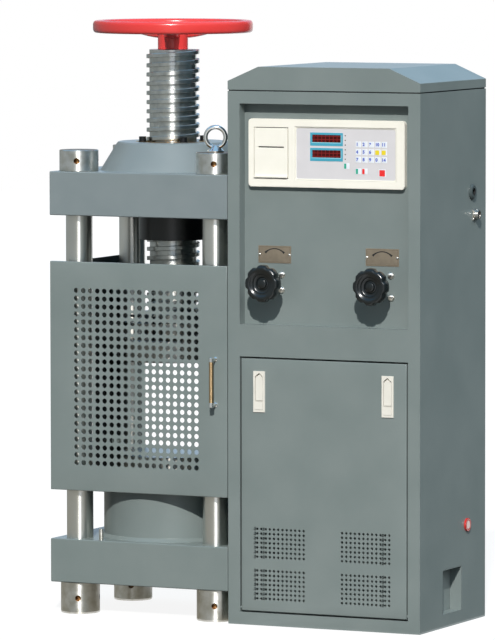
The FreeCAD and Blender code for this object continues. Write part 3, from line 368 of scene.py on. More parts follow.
finishes["red_window"] = display_acrylic()
slots = {row["node"]: row["material_slot"] for row in frame["record"]["subparts"]}
for node_name, slot_name in slots.items():
    data = frame["nodes"][node_name].data
    data.materials.clear()
    data.materials.append(finishes[slot_name])
grey_nylon = moulded("nylon_dark_grey", "#4a5354", "#535d5e", 0.3, 1.0)
frame["nodes"]["guard_side_cover"].data.materials[0] = side_cover_painted_shade
frame["nodes"]["cable_gland"].data.materials[0] = grey_nylon
print("dressed", len(slots), "CAD nodes in", len(set(slots.values())), "finishes")

# %% [markdown]
# ## Making a surface
# Each new piece is one or more grids of points that numpy works out as whole arrays. Edges that
# meet, as round a tube or at a pole, are welded afterwards, and the faces are turned outwards.
# Edges sharper than an angle are kept crisp, the rest is smooth.


# %% Surface helpers
def grid_quads(rows, cols):
    """Quads of a grid of rows by cols points: each joins a point to the next in row and column."""
    corner = (np.arange(rows - 1)[:, None] * cols + np.arange(cols - 1)).reshape(-1)
    return np.stack([corner, corner + cols, corner + cols + 1, corner + 1], -1)


def revolve(profile, count=48, axis_at=(0, 0, 0), along="Z"):
    """Points of a turned shape in mm: rows of radius and height, carried round an axis by even
    angles."""
    profile = np.asarray(profile, float)
    angle = np.linspace(0, 2 * np.pi, count + 1)
    r, h = profile[:, 0][:, None], profile[:, 1][:, None]
    a, b, c = r * np.cos(angle), r * np.sin(angle), h + 0 * angle
    order = {"Z": (a, b, c), "Y": (a, c, b), "X": (c, a, b)}[along]
    return np.stack(order, -1) + np.asarray(axis_at, float)


def rounded(points, radii, steps=5):
    """A polyline with arcs in place of corners: each corner point is replaced by a quadratic
    curve that starts and ends one radius before and after it."""
    points = np.asarray(points, float)
    out = [points[0]]
    t = np.linspace(0, 1, steps)[:, None]
    for before, corner, after, radius in zip(points[:-2], points[1:-1], points[2:], radii):
        a = corner + (before - corner) / np.linalg.norm(before - corner) * radius
        b = corner + (after - corner) / np.linalg.norm(after - corner) * radius
        out.extend((1 - t) ** 2 * a + 2 * t * (1 - t) * corner + t**2 * b)
    out.append(points[-1])
    return np.array(out)


def capped(rings):
    """Closes the first and last ring of a grid by adding a row at each ring's middle."""
    first, last = rings[:1].mean(1, keepdims=True), rings[-1:].mean(1, keepdims=True)
    return np.concatenate([first + 0 * rings[:1], rings, last + 0 * rings[-1:]])


def box_grid(lo, hi, soft):
    """A block as a grid: its outline, its corners cut round by soft, is drawn on six levels
    that close at both ends."""
    lo, hi = np.asarray(lo, float), np.asarray(hi, float)
    (x0, y0, z0), (x1, y1, z1) = lo, hi
    corners = [(x0 + soft, y0), (x1, y0), (x1, y1), (x0, y1), (x0, y0), (x0 + soft, y0)]
    loop = rounded(corners, [soft] * 4, 3)
    middle, half = (lo[:2] + hi[:2]) / 2, (hi[:2] - lo[:2]) / 2
    levels = ((z0, 0, 0), (z0, 1, soft), (z0 + soft, 1, 0), (z1 - soft, 1, 0), (z1, 1, soft),
              (z1, 0, 0))
    rows = []
    for z, share, pull in levels:
        ring = middle + (loop - middle) * share * (1 - pull / half)
        rows.append(np.column_stack([ring, np.full(len(ring), z)]))
    return np.array(rows)


def to_mesh(name, grids, polygons=(), crisp=35.0, weld=True):
    """One mesh object from grids of points in mm and loose polygons (points, faces), welded
    unless weld is False, with its faces turned outwards."""
    points, faces, base = [], [], 0
    for g in grids:
        g = np.asarray(g, float)
        faces += (grid_quads(*g.shape[:2]) + base).tolist()
        points.append(g.reshape(-1, 3))
        base += g.shape[0] * g.shape[1]
    for verts, polys in polygons:
        verts = np.asarray(verts, float)
        faces += [[int(k) + base for k in p] for p in polys]
        points.append(verts)
        base += len(verts)
    mesh = bpy.data.meshes.new(name)
    mesh.from_pydata((np.concatenate(points) * mm).tolist(), [], faces)
    work = bmesh.new()
    work.from_mesh(mesh)
    if weld:
        bmesh.ops.remove_doubles(work, verts=work.verts, dist=0.004 * mm)
        bmesh.ops.dissolve_degenerate(work, edges=work.edges, dist=0.002 * mm)
    bmesh.ops.recalc_face_normals(work, faces=work.faces)
    for e in work.edges:
        e.smooth = len(e.link_faces) == 2 and e.calc_face_angle(0) < np.radians(crisp)
    for f in work.faces:
        f.smooth = True
    work.to_mesh(mesh)
    work.free()
    piece = bpy.data.objects.new(name, mesh)
    bpy.context.scene.collection.objects.link(piece)
    return piece


def dress(piece, finish, body, stands_for=()):
    """Gives a piece its material, the body it rides on and the nodes it stands for."""
    piece.data.materials.append(finishes[finish] if isinstance(finish, str) else finish)
    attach(piece, body)
    if stands_for:
        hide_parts(*stands_for)
    print(piece.name, len(piece.data.polygons), "faces on", body)
    return piece


def box_mm(node):
    """The two corners of a CAD node's box, in mm."""
    return [np.array(corner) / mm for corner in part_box(node)]


# %% [markdown]
# ## The load screw
# The screw has a square, right-handed thread with a 20 mm pitch. It could be a profile turned in
# steps with a Screw modifier; here it is one formula. Walking round by an angle lifts the thread
# profile by pitch times turns, and its last point is its first one a turn later, so that
# neighbouring turns weld.

# %% Load screw
press_lo, press_hi = box_mm("crosshead")
press_axis = (*((press_lo + press_hi)[:2] / 2), 0)
screw_z0, screw_z1 = [corner[2] for corner in box_mm("load_screw")]
crest, root, pitch_mm, per_turn = 58.0, 51.5, 20.0, 56
lower_r, collar_r, stem_r = 28, 33.5, 15
plain_foot, plain_top = 26, 46
thread_z0, thread_z1 = screw_z0 + plain_foot, screw_z1 - plain_top
turns = (thread_z1 - thread_z0) / pitch_mm + 1
theta = np.arange(int(turns * per_turn) + 1)[:, None] / per_turn * 2 * np.pi
tooth = np.array([(root, 0), (crest - 0.8, 0.3), (crest, 1.1), (crest, 8.4), (crest - 0.8, 9.2),
                  (root, 9.5), (root, 14.8), (root, pitch_mm)])
lift = thread_z0 - pitch_mm + theta * pitch_mm / (2 * np.pi) + tooth[:, 1]
reach = np.where((lift > thread_z0) & (lift < thread_z1), tooth[:, 0], root)
lift = np.clip(lift, thread_z0, thread_z1)
thread = np.stack([reach * np.cos(theta), reach * np.sin(theta), lift], -1) + press_axis
lower_end = [(root, thread_z0), (lower_r, thread_z0), (lower_r, screw_z0 + 2),
             (lower_r - 2, screw_z0), (0, screw_z0)]
upper_end = [(root, thread_z1), (collar_r, thread_z1), (stem_r, thread_z1), (stem_r, screw_z1 - 1),
             (stem_r - 1, screw_z1), (0, screw_z1)]
ends = [revolve(profile, per_turn, press_axis) for profile in (lower_end, upper_end)]
load_screw = to_mesh("load_screw_thread", [thread, *ends], crisp=30)
dress(load_screw, "screw_steel", "screw", stands_for=["load_screw"])

# %% [markdown]
# ## The handwheel
# A cast wheel: a rim that is a little taller than wide, three dished spokes that leave the hub
# low and meet the rim from below, and a plain round hub. Rim and spokes have a squared section,
# and each spoke is carried along a rising S-curve.

# %% Handwheel
def superellipse(count, power):
    """Cosine and sine round one turn, their sizes raised to a power that squares the shape."""
    t = np.linspace(0, 2 * np.pi, count)
    return [np.sign(f(t)) * np.abs(f(t)) ** power for f in (np.cos, np.sin)]


wheel_lo, wheel_hi = box_mm("handwheel")
hub_z, rim_top, rim_out = wheel_lo[2], wheel_hi[2], (wheel_hi[0] - wheel_lo[0]) / 2
rim_w, rim_h = 10.75, 13.5
hub_r, hub_bore, hub_tall, hub_gap = 33, 15, 40, 0.3
c, s = superellipse(41, 0.62)
section = np.column_stack([rim_out - rim_w + rim_w * c, rim_top - rim_h + rim_h * s])
rim = revolve(section, 120, press_axis)
hub_profile = rounded([(hub_bore, hub_z + hub_gap), (hub_r, hub_z + hub_gap),
                       (hub_r, hub_z + hub_tall), (hub_bore, hub_z + hub_tall)], [1.5, 4])
hub = revolve(hub_profile, 48, press_axis)
share = np.linspace(0, 1, 24)
spoke_r0, spoke_r1, spoke_above_hub = 26, 160, 31
spoke_r = spoke_r0 + share * (spoke_r1 - spoke_r0)
spoke_z0, spoke_z1 = hub_z + spoke_above_hub, rim_top - rim_h
spoke_z = spoke_z0 + (spoke_z1 - spoke_z0) * (3 * share**2 - 2 * share**3)
c, s = superellipse(25, 0.75)
wide = (18 - 7 * share**0.7)[:, None] * c
high = spoke_z[:, None] + (7 - 1.5 * share)[:, None] * s
spokes = []
for azimuth in np.radians([-68, 52, 172]):
    out = np.array([np.cos(azimuth), np.sin(azimuth)])
    across = np.array([-np.sin(azimuth), np.cos(azimuth)])
    xy = press_axis[:2] + spoke_r[:, None, None] * out + wide[..., None] * across
    spokes.append(capped(np.concatenate([xy, high[..., None]], -1)))
handwheel = to_mesh("handwheel_casting", [rim, hub, *spokes])
dress(handwheel, "red_paint", "screw", stands_for=["handwheel"])

# %% [markdown]
# ## Sheets with round holes
# The guard door is perforated so that the operator sees the test without being hit by
# fragments, and the service door has small vent holes. Cutting them with booleans is slow and
# leaves slivers. Instead the sheet is a grid of cells: a plain cell is one quad, and a holed cell
# is four faces between its corners and a ring of points. Solidify then gives the sheet its
# thickness and the holes their walls.


# %% Perforated sheet
def perforated(xs, zs, y, hole_at, radius, skip, ring):
    """Points and faces of a sheet in the XZ plane: xs and zs are the cell borders, hole_at marks
    the holed cells, whose rings are cell centre plus radius times (cos, sin), and skip lists the
    ranges of cells that are left open."""
    gx, gz = np.meshgrid(xs, zs, indexing="ij")
    corners = np.stack([gx, np.full_like(gx, y), gz], -1).reshape(-1, 3)
    cols = len(zs)
    cell_i, cell_k = np.meshgrid(np.arange(len(xs) - 1), np.arange(cols - 1), indexing="ij")
    a = (cell_i * cols + cell_k).reshape(-1)
    quad = np.stack([a, a + cols, a + cols + 1, a + 1], -1)
    holed = hole_at.reshape(-1)
    keep = ~holed
    for i0, i1, k0, k1 in skip:
        keep &= ~((cell_i >= i0) & (cell_i < i1) & (cell_k >= k0) & (cell_k < k1)).reshape(-1)
    faces = quad[keep].tolist()
    mid_x = ((xs[1:] + xs[:-1]) / 2)[cell_i.reshape(-1)[holed]]
    mid_z = ((zs[1:] + zs[:-1]) / 2)[cell_k.reshape(-1)[holed]]
    angle = np.radians(-135) + np.arange(ring) / ring * 2 * np.pi
    rx = mid_x[:, None] + radius * np.cos(angle)
    rz = mid_z[:, None] + radius * np.sin(angle)
    rings = np.stack([rx, np.full_like(rx, y), rz], -1).reshape(-1, 3)
    first = len(corners) + np.arange(len(mid_x)) * ring
    square = quad[holed]
    part = ring // 4
    for side in range(4):
        arc = first[:, None] + (side * part + np.arange(part, -1, -1)) % ring
        border = np.stack([square[:, side], square[:, (side + 1) % 4]], -1)
        faces += np.concatenate([border, arc], 1).tolist()
    return np.concatenate([corners, rings]), faces


def pan_flange(lo, hi, bend, at_x, at_z):
    """The bend and flange of a folded pan: an arc from the face into the depth, then straight
    back, drawn along the four sides with the same points per side as the face's border."""
    arc = np.linspace(0, np.pi / 2, 6)
    inset = np.concatenate([bend * (1 - np.sin(arc)), [0.0]])
    depth = np.concatenate([lo[1] + bend * (1 - np.cos(arc)), [hi[1]]])
    (x0, _, z0), (x1, _, z1) = lo, hi
    sx = (at_x - x0 - bend) / (x1 - x0 - 2 * bend)
    sz = (at_z - z0 - bend) / (z1 - z0 - 2 * bend)
    rows = []
    for i, y in zip(inset, depth):
        bx = x0 + i + sx * (x1 - x0 - 2 * i)
        bz = z0 + i + sz * (z1 - z0 - 2 * i)
        px = np.concatenate([bx, 0 * bz[1:] + x1 - i, bx[::-1][1:], 0 * bz[1:] + x0 + i])
        pz = np.concatenate([0 * bx + z0 + i, bz[1:], 0 * bx[1:] + z1 - i, bz[::-1][1:]])
        rows.append(np.column_stack([px, np.full(len(px), y), pz]))
    return np.array(rows)


def folded_pan(name, lo, hi, bend, xs, zs, thickness, holes, radius, skip=(), ring=16):
    """A perforated sheet with its flanges; Solidify thickens both from the front face back."""
    face = perforated(xs, zs, lo[1], holes, radius, skip, ring)
    pan = to_mesh(name, [pan_flange(lo, hi, bend, xs, zs)], [face], crisp=50)
    solid = pan.modifiers.new("thickness", "SOLIDIFY")
    solid.thickness = thickness * mm
    solid.offset = -1
    return pan


# %% [markdown]
# ## The guard door
# Eighteen by twenty-three holes a little over 11 mm wide on a 17 mm pitch. The door is a folded
# pan, so behind its face four flanges run round it, joined by a small bend. The flanges are a
# profile, bend included, carried round the door's rectangle with mitred corners.

# %% Guard door
door_lo, door_hi = box_mm("guard_door")
bend, guard_sheet = 2.0, 1.5
guard_cols, guard_rows, hole_pitch, guard_hole_r = 18, 23, 17.02, 5.6
first_x, first_z = -381.25, 332.3
hinge_gap = (29, 75)
col_edges = first_x - hole_pitch / 2 + hole_pitch * np.arange(guard_cols + 1)
row_edges = first_z - hole_pitch / 2 + hole_pitch * np.arange(guard_rows + 1)
xs = np.concatenate([[door_lo[0] + bend], col_edges, [door_hi[0] - bend]])
zs = np.concatenate([[door_lo[2] + bend], row_edges, [door_hi[2] - bend]])
holes = np.pad(np.ones((guard_cols, guard_rows), bool), 1)
guard_door = folded_pan("guard_door_sheet", door_lo, door_hi, bend, xs, zs, guard_sheet, holes,
                        guard_hole_r)
dress(guard_door, "grey_paint", "guard", stands_for=["guard_door"])

# %% [markdown]
# At each hinge the left flange is cut away, or it would run into the hinge's arm when the door
# opens. Solidify works on what is left, so the ends of the gaps get walls too.


# %% Gaps at the hinges
def notch(piece, edge_x, front, spans):
    """Cuts gaps in the upright flange at edge_x: its faces behind front are split at each gap's
    ends and those between are taken out."""
    work = bmesh.new()
    work.from_mesh(piece.data)

    def upright_faces():
        middles = [(f, f.calc_center_median() / mm) for f in work.faces]
        return [(f, c.z) for f, c in middles if abs(c.x - edge_x) < 0.2 and c.y > front]

    for height in np.ravel(spans):
        strip = [f for f, z in upright_faces()]
        around = {part for f in strip for part in (*f.edges, *f.verts)}
        bmesh.ops.bisect_plane(work, geom=[*strip, *around], plane_co=(0, 0, height * mm),
                               plane_no=(0, 0, 1))
    gone = [f for f, z in upright_faces() if any(a < z < b for a, b in spans)]
    bmesh.ops.delete(work, geom=gone, context="FACES")
    work.to_mesh(piece.data)
    work.free()


gaps = [[door_lo[2] + g for g in hinge_gap], [door_hi[2] - g for g in reversed(hinge_gap)]]
notch(guard_door, door_lo[0], door_lo[1] + bend, gaps)
print("flange gaps in mm:", np.round(gaps, 1).tolist())

# %% [markdown]
# The hinge knuckles are short turned rings, each with a flat leaf welded to the sheet.

# %% Guard hinge leaves
knuckle_x, knuckle_y = door_lo[0] + 7, door_lo[1] + 7
pin_r, knuckle_r, knuckle_tall, leaf_wide = 3.3, 5, 22, 24
hinge_parts = []
for z in (door_lo[2] + 52.5, door_hi[2] - 51.5):
    top = z + knuckle_tall
    sleeve = [(pin_r, z), (knuckle_r, z), (knuckle_r, top), (pin_r, top), (pin_r, z)]
    hinge_parts.append(revolve(sleeve, 20, (knuckle_x, knuckle_y, 0)))
    leaf_lo = (knuckle_x + 4, door_lo[1] + guard_sheet + 0.1, z)
    leaf_hi = (knuckle_x + leaf_wide, door_lo[1] + 3.5, top)
    hinge_parts.append(box_grid(leaf_lo, leaf_hi, 0.3))
dress(to_mesh("guard_hinge_leaves", hinge_parts), "grey_paint", "guard")

# %% [markdown]
# The pull handle is a bar of warm nickel between two chromed sleeves, each on a thin foot with a
# small flange at the door.

# %% Guard handle
grip_lo, grip_hi = box_mm("guard_handle")
bar_r, sleeve_r, neck_r, flange_r, sleeve_long = 4.6, 5, 3, 4.9, 10
grip_x, grip_y, door_y = (grip_lo[0] + grip_hi[0]) / 2, grip_lo[1] + sleeve_r, grip_hi[1]
z0, z1 = grip_lo[2], grip_hi[2]
bar = revolve([(0, z0 + 8), (bar_r, z0 + 8), (bar_r, z1 - 8), (0, z1 - 8)], 24,
              (grip_x, grip_y, 0))
warm_nickel = ringed_steel("warm_nickel", "#b89a72", "#cbb08a", 0.42, 1.4, 0.02)
dress(to_mesh("guard_handle_bar", [bar]), warm_nickel, "guard", ["guard_handle"])
feet = []
for a, b in ((z0, z0 + sleeve_long), (z1, z1 - sleeve_long)):
    sleeve = [(0, a), (3.8, a), (sleeve_r, a + 0.12 * (b - a)), (sleeve_r, b - 0.05 * (b - a)),
              (bar_r, b), (0, b)]
    foot = [(0, grip_y), (neck_r, grip_y), (neck_r, door_y - 3), (flange_r, door_y - 1.5),
            (flange_r, door_y), (0, door_y)]
    feet.append(revolve(sleeve, 24, (grip_x, grip_y, 0)))
    feet.append(revolve(foot, 20, (grip_x, 0, (a + b) / 2), "Y"))
dress(to_mesh("guard_handle_feet", feet), "bright_chrome", "guard")

# %% [markdown]
# ## The service door
# Another folded pan, with two groups of vents, each split in two blocks of twelve by seven holes
# on a 10 mm pitch, and two openings for the flush locks.

# %% Service door
cab_x = box_mm("cabinet_walls")[0][0]
sd_lo, sd_hi = box_mm("service_door")
vent_cols, vent_rows, vent_pitch, vent_r = 12, 7, 10, 2.7
vent_x = [cab_x + start + vent_pitch * (np.arange(vent_cols + 1) - 0.5) for start in (68.5, 268.65)]
vent_z = [start + vent_pitch * (np.arange(vent_rows + 1) - 0.5) for start in (58.0, 147.8)]
lock_lo, lock_hi = box_mm("lock_housings")
lock_half, lock_side, lock_end = 13.5, 10.5, 3
lock_x = [(m - lock_side, m + lock_side) for m in (lock_lo[0] + lock_half, lock_hi[0] - lock_half)]
lock_z = (lock_lo[2] + lock_end, lock_hi[2] - lock_end)
edges_x = [[sd_lo[0] + bend, sd_hi[0] - bend], *vent_x, *lock_x]
edges_z = [[sd_lo[2] + bend, sd_hi[2] - bend], *vent_z, lock_z]
sd_x, sd_z = [np.unique(np.round(np.concatenate(edges), 4)) for edges in (edges_x, edges_z)]
mid_x, mid_z = (sd_x[1:] + sd_x[:-1]) / 2, (sd_z[1:] + sd_z[:-1]) / 2
in_x = np.any([(mid_x > v[0]) & (mid_x < v[-1]) for v in vent_x], 0)
in_z = np.any([(mid_z > v[0]) & (mid_z < v[-1]) for v in vent_z], 0)
vent_cells = in_x[:, None] & in_z
openings = [(*np.searchsorted(sd_x, np.subtract(pair, 0.01)),
             *np.searchsorted(sd_z, np.subtract(lock_z, 0.01))) for pair in lock_x]
service_door = folded_pan("service_door_pan", sd_lo, sd_hi, bend, sd_x, sd_z, 2.0, vent_cells,
                          vent_r, openings, 12)
dress(service_door, "grey_paint", "door", stands_for=["service_door"])

# %% [markdown]
# ## The valve knobs
# Phenolic knobs 80 mm over eight lobes, with a dished face in concentric steps round a boss.
# The outline could be circles joined by arcs; one formula does: the radius loses up to 3.4 mm
# where the cosine of eight times the angle is near minus one, and the cut fades towards the face.

# %% Valve knobs
lobes, lobe_depth, stem_end_y = 8, 3.4, -85.5
knob_profile = [
    (0, 5.0), (8.6, 5.0), (9.6, 5.8), (10.4, 9.4), (12.4, 10.0), (13.6, 9.2), (14.6, 7.6),
    (16, 7.2), (19.4, 6.4), (20.4, 5.4), (21, 4.2), (22.4, 3.8), (25.2, 3.0), (26.8, 1.6),
    (29, 0.5), (31.5, 0.0), (34, 0.4), (36.4, 1.6), (38.4, 3.8), (39.6, 6.6), (40, 10.0),
    (40, 15.0), (39.4, 18.4), (37.6, 21.6), (34, 24.4), (28, 26.6), (20, 30.0), (6, 30.0)]
angle = np.radians(np.linspace(0, 360, 193))
dip = lobe_depth * np.clip(np.cos(lobes * angle - np.pi), 0, 1) ** 1.3
for side in ("left", "right"):
    lo, hi = box_mm("valve_knob_" + side)
    middle = np.array([(lo[0] + hi[0]) / 2, lo[1], (lo[2] + hi[2]) / 2])
    radius, depth = np.array([*knob_profile, (6, stem_end_y - lo[1])]).T[..., None]
    r = radius - np.interp(radius, [32, 39], [0, 1]) * dip
    grid = np.stack([r * np.cos(angle), depth + 0 * angle, r * np.sin(angle)], -1) + middle
    end = middle + (0, depth[-1, 0], 0) + 0 * grid[:1]
    knob = to_mesh("knob_lobed_" + side, [np.concatenate([grid, end])], crisp=40)
    dress(knob, "black_plastic", "knob_" + side, stands_for=["valve_knob_" + side])

# %% [markdown]
# Behind each knob a slim browned bonnet guides the spindle.

# %% Valve bonnets
bonnet_lo, bonnet_hi = box_mm("valve_bonnets")
back_y, near_y, bonnet_z = bonnet_hi[1], bonnet_lo[1], (bonnet_lo[2] + bonnet_hi[2]) / 2
spindle_r, barrel_r, collar_out, bonnet_half = 6.4, 11.5, 14.5, 22
profile = [(spindle_r, back_y), (collar_out, back_y), (collar_out, back_y - 5),
           (barrel_r, back_y - 7), (barrel_r, near_y + 5), (10, near_y + 3.5), (10, near_y),
           (spindle_r, near_y), (spindle_r, back_y)]
barrels = [revolve(profile, 40, (x, 0, bonnet_z), "Y")
           for x in (bonnet_lo[0] + bonnet_half, bonnet_hi[0] - bonnet_half)]
browned = ringed_steel("browned_steel", "#2a2b2b", "#353636", 0.3, 1.0, 0.004, "Y")
dress(to_mesh("bonnets_turned", barrels), browned, "frame", ["valve_bonnets"])

# %% [markdown]
# ## Screws, rivets and marks
# Four domed screws hold the valve block, and two rivets hold each label plate.

# %% Domed heads
label_lo, label_hi = box_mm("valve_label_plates")
plate_y, recess_y, label_mid = label_lo[1], label_hi[1], (label_lo[2] + label_hi[2]) / 2
plate_wide = 77
plates = [(label_lo[0], label_lo[0] + plate_wide), (label_hi[0] - plate_wide, label_hi[0])]
block_screws = ((100, 753), (99, 720.5), (355, 758), (356, 711))
block_head, rivet_head, small_head = (7.8, 5.2), (3.1, 2.2), (2.6, 1.8)


def dome(x, y, z, radius, tall, along="Y"):
    """A domed head that faces -Y or +X: its profile is a quarter of an ellipse."""
    q = np.linspace(0, np.pi / 2, 7)
    side = -1 if along == "Y" else 1
    rows = np.column_stack([radius * np.cos(q), side * tall * np.sin(q)])
    return revolve(np.concatenate([[(radius, -0.3 * side)], rows]), 20, (x, y, z), along)


domes = [dome(x, recess_y, z, *block_head) for x, z in block_screws]
dress(to_mesh("block_screw_heads", domes, crisp=60), "plug_metal", "frame")
rivets = [dome(x, plate_y, label_mid - 0.5, *rivet_head)
          for a, b in plates for x in (a + 3.3, b - 3.3)]
dress(to_mesh("label_rivets", rivets, crisp=60), "plug_metal", "frame")

# %% [markdown]
# ## Printed ink
# The panel and the plates are screen printed. Here each mark is a flat piece set 0.05 mm in front
# of its sheet, made from closed outlines in X and Z. The words of the real panel are left out,
# and only plain numbers stand on the keys.


# %% Ink helper
ink_step = 0.05


def ink(name, dark, light):
    """One ink colour: a slight mottle over 4 mm, as a screen print has."""
    return moulded("ink_" + name, dark, light, 0.5, 1.0, 0.002, 4.0)


def printed(name, polygons, finish, weld=True):
    """A print as one piece, whose flat faces are all turned towards the front, -Y."""
    piece = to_mesh(name, [], polygons, weld=weld)
    for poly in piece.data.polygons:
        if poly.normal.y > 0:
            poly.flip()
    return dress(piece, finish, "frame")


def flats(name, outlines, sheet_y, finish):
    """Flat polygons just in front of a sheet, from closed outlines of x and z."""
    polygons = []
    for o in outlines:
        points = np.column_stack([o[:, 0], np.full(len(o), sheet_y - ink_step), o[:, 1]])
        polygons.append((points, [range(len(o))]))
    return printed(name, polygons, finish)


def rectangle(cx, cz, w, h, soft=0.0):
    """Outline of a rectangle about its middle, with its corners cut round."""
    x0, x1, z0, z1 = cx - w / 2, cx + w / 2, cz - h / 2, cz + h / 2
    r = max(soft, 1e-4)
    corners = [(x0 + r, z0), (x1, z0), (x1, z1), (x0, z1), (x0, z0), (x0 + r, z0)]
    return rounded(corners, [r] * 4, 4 if soft else 2)[:-1]


def band(cx, cz, r, width, a0, a1, count=24):
    """Outline of a curved bar: an outer arc one way and an inner arc back."""
    a = np.radians(np.linspace(a0, a1, count))
    arcs = [np.column_stack([cx + rim * np.cos(a), cz + rim * np.sin(a)])
            for rim in (r + width / 2, r - width / 2)]
    return np.concatenate([arcs[0], arcs[1][::-1]])


inks = {name: ink(name, *tones) for name, *tones in (
    ("black", "#141516", "#1a1b1c"), ("blue", "#2a4fc0", "#3158c6"),
    ("yellow", "#ecd513", "#f2dc1f"), ("green", "#14a487", "#1cac90"),
    ("red", "#ec2222", "#f42b2a"), ("umber", "#6f6252", "#786a59"),
    ("lamp", "#4a3330", "#55403c"), ("pale_cyan", "#9fd8e6", "#aadfec"))}
print("inks ready")

# %% [markdown]
# ### The valve plates
# Each plate carries a curved bar, wider at its ends, that tells which way the valve turns, and a
# brown line round the border.

# %% Valve plate marks
arc_width = 2.2 + 3.0 * np.linspace(-1, 1, 24) ** 4
arc_r, arc_drop, border_in, border_line = 31.8, 38.0, 2.2, 0.9
marks = [band((a + b) / 2, label_hi[2] - arc_drop, arc_r, arc_width, 45, 135) for a, b in plates]
flats("valve_plate_marks", marks, plate_y, inks["black"])
lines = []
for a, b in plates:
    for z in (label_lo[2] + border_in, label_hi[2] - border_in):
        lines.append(rectangle((a + b) / 2, z, b - a - 4, border_line))
    for x in (a + border_in, b - border_in):
        lines.append(rectangle(x, label_mid, border_line, label_hi[2] - label_lo[2] - 5.3))
flats("valve_plate_borders", lines, plate_y, inks["umber"])

# %% [markdown]
# ### The keys
# Fifteen keys in three rows, three half-coloured keys below and a large red key at the right.
# The film under a key is pressed up a little, so each key keeps its own small step in front of
# the film.

# %% Keys
key_y, film_y = box_mm("membrane_keys")[0][1], box_mm("membrane_panel")[0][1]
key_half, key_pitch, key_in, key_soft = 6.2, 15, 0.1, 0.2
row_z = (1035, 1018.8, 1002.7)
keys = [(283.5 + key_pitch * c, z) for z in row_z for c in range(5)]
coloured = [(256.3, 988.5), (283.5, 978), (298.5, 978)]
big_key = (331, 967, 347, 983)
borders = [(x - key_half, z - key_half, x + key_half, z + key_half) for x, z in keys + coloured]
key_parts = [box_grid((x0, key_y, z0), (x1, film_y + key_in, z1), key_soft)
             for x0, z0, x1, z1 in [*borders, big_key]]
dress(to_mesh("film_keys", key_parts), "white_key", "frame", stands_for=["membrane_keys"])
yellow_size, green_size, red_size, big_size = (9.4, 9.6), (5, 11), (5.4, 11), (13, 13.4)
yellow = [rectangle(x - 1, z - 0.4, *yellow_size) for x, z in keys[8:10]]
green = [rectangle(x - 3.1, z, *green_size) for x, z in coloured[:2]]
red = [rectangle(295.4, 978, *red_size), rectangle(339, 975, *big_size)]
flats("keys_yellow", yellow, key_y, inks["yellow"])
flats("keys_green", green, key_y, inks["green"])
flats("keys_red", red, key_y, inks["red"])

# %% [markdown]
# The case laps over the film with a low lip. Each corner of its section is carried round as a
# rounded rectangle: two at the lip's height and one at the film.

# %% Lip round the film
panel_lo, panel_hi = box_mm("membrane_panel")
panel_mid, panel_size = (panel_lo + panel_hi) / 2, panel_hi - panel_lo
rings = []
for inset, soft, step in ((0.02, 0.3, 0.9), (1.6, 5.0, 0.9), (2.2, 4.6, 0.02)):
    width, height = panel_size[0] - 2 * inset, panel_size[2] - 2 * inset
    o = rectangle(panel_mid[0], panel_mid[2], width, height, soft)
    ring = np.column_stack([o[:, 0], np.full(len(o), film_y - step), o[:, 1]])
    rings.append(np.concatenate([ring, ring[:1]]))
dress(to_mesh("film_lip", [np.array(rings)]), "cream_plastic", "frame")

# %% [markdown]
# The digits are the font's own outlines; the yellow keys have none.


# %% Key numbers
def digits(name, spots, height, sheet_y, finish):
    """Numbers as a print: each text curve is filled and moved to its spot in X and Z."""
    polygons = []
    for text, x, z in spots:
        curve = bpy.data.curves.new("glyph", "FONT")
        curve.body = text
        curve.size = height * mm * 1.4
        curve.offset = height * mm * 0.07
        curve.align_x = curve.align_y = "CENTER"
        glyph = bpy.data.objects.new("glyph", curve)
        shape = glyph.to_mesh()
        co = np.array([v.co for v in shape.vertices]) / mm
        points = [co[:, 0] + x, np.full(len(co), sheet_y - ink_step), co[:, 1] + z]
        polygons.append((np.column_stack(points), [list(p.vertices) for p in shape.polygons]))
        glyph.to_mesh_clear()
        bpy.data.objects.remove(glyph)
    return printed(name, polygons, finish, weld=False)


key_numbers = (1, 2, 3, 10, 11, 4, 5, 6, None, None, 7, 8, 9, 0, 14)
spots = [(str(n), x - (1.0 if n > 9 else 2.6), z)
         for n, (x, z) in zip(key_numbers, keys) if n is not None]
digits("key_numbers", spots, 6.6, key_y, inks["blue"])

# %% [markdown]
# ### Lamps beside the displays
# Six small dark dots show the state of the test, and a second print on the cyan draws a pale
# blue line inside each display frame.

# %% Lamps and display lines
lamps = [band(253, 1053 - 10 * k, 0.7, 1.4, 0, 359.9, 13) for k in range(6)]
flats("state_lamps", lamps, film_y, inks["lamp"])
window_lo, window_hi = box_mm("display_windows")
x0, x1, line_w = window_lo[0], window_hi[0], 1.2
pale_lines = []
for z0, z1 in ((1005.5, 1021.5), (1038, 1054)):
    pale_lines.append(rectangle((x0 + x1) / 2, z0 - 0.9, x1 - x0 + 3, line_w))
    pale_lines.append(rectangle(x1 + 0.9, (z0 + z1) / 2, line_w, z1 - z0))
frame_y = box_mm("display_frames")[0][1]
flats("display_pale_lines", pale_lines, frame_y, inks["pale_cyan"])

# %% [markdown]
# ## Sight glass, connector and gland
# The sight glass is a red plastic ring with a pale reflector in it. The signal connector is a
# nickelled shell with a square flange, four small screws and a black insert. The cable gland
# has a dark throat.

# %% Sight glass, connector and gland details
def on_side(node):
    """The two X of a piece on the cabinet's side, and the Y and Z of its middle."""
    lo, hi = box_mm(node)
    return lo[0], hi[0], (lo[1] + hi[1]) / 2, (lo[2] + hi[2]) / 2


def side_disc(name, rows, count, y, z, finish):
    """A turned piece of rows (radius, X) about an axis along X."""
    return dress(to_mesh(name, [revolve(rows, count, (0, y, z), "X")]), finish, "frame")


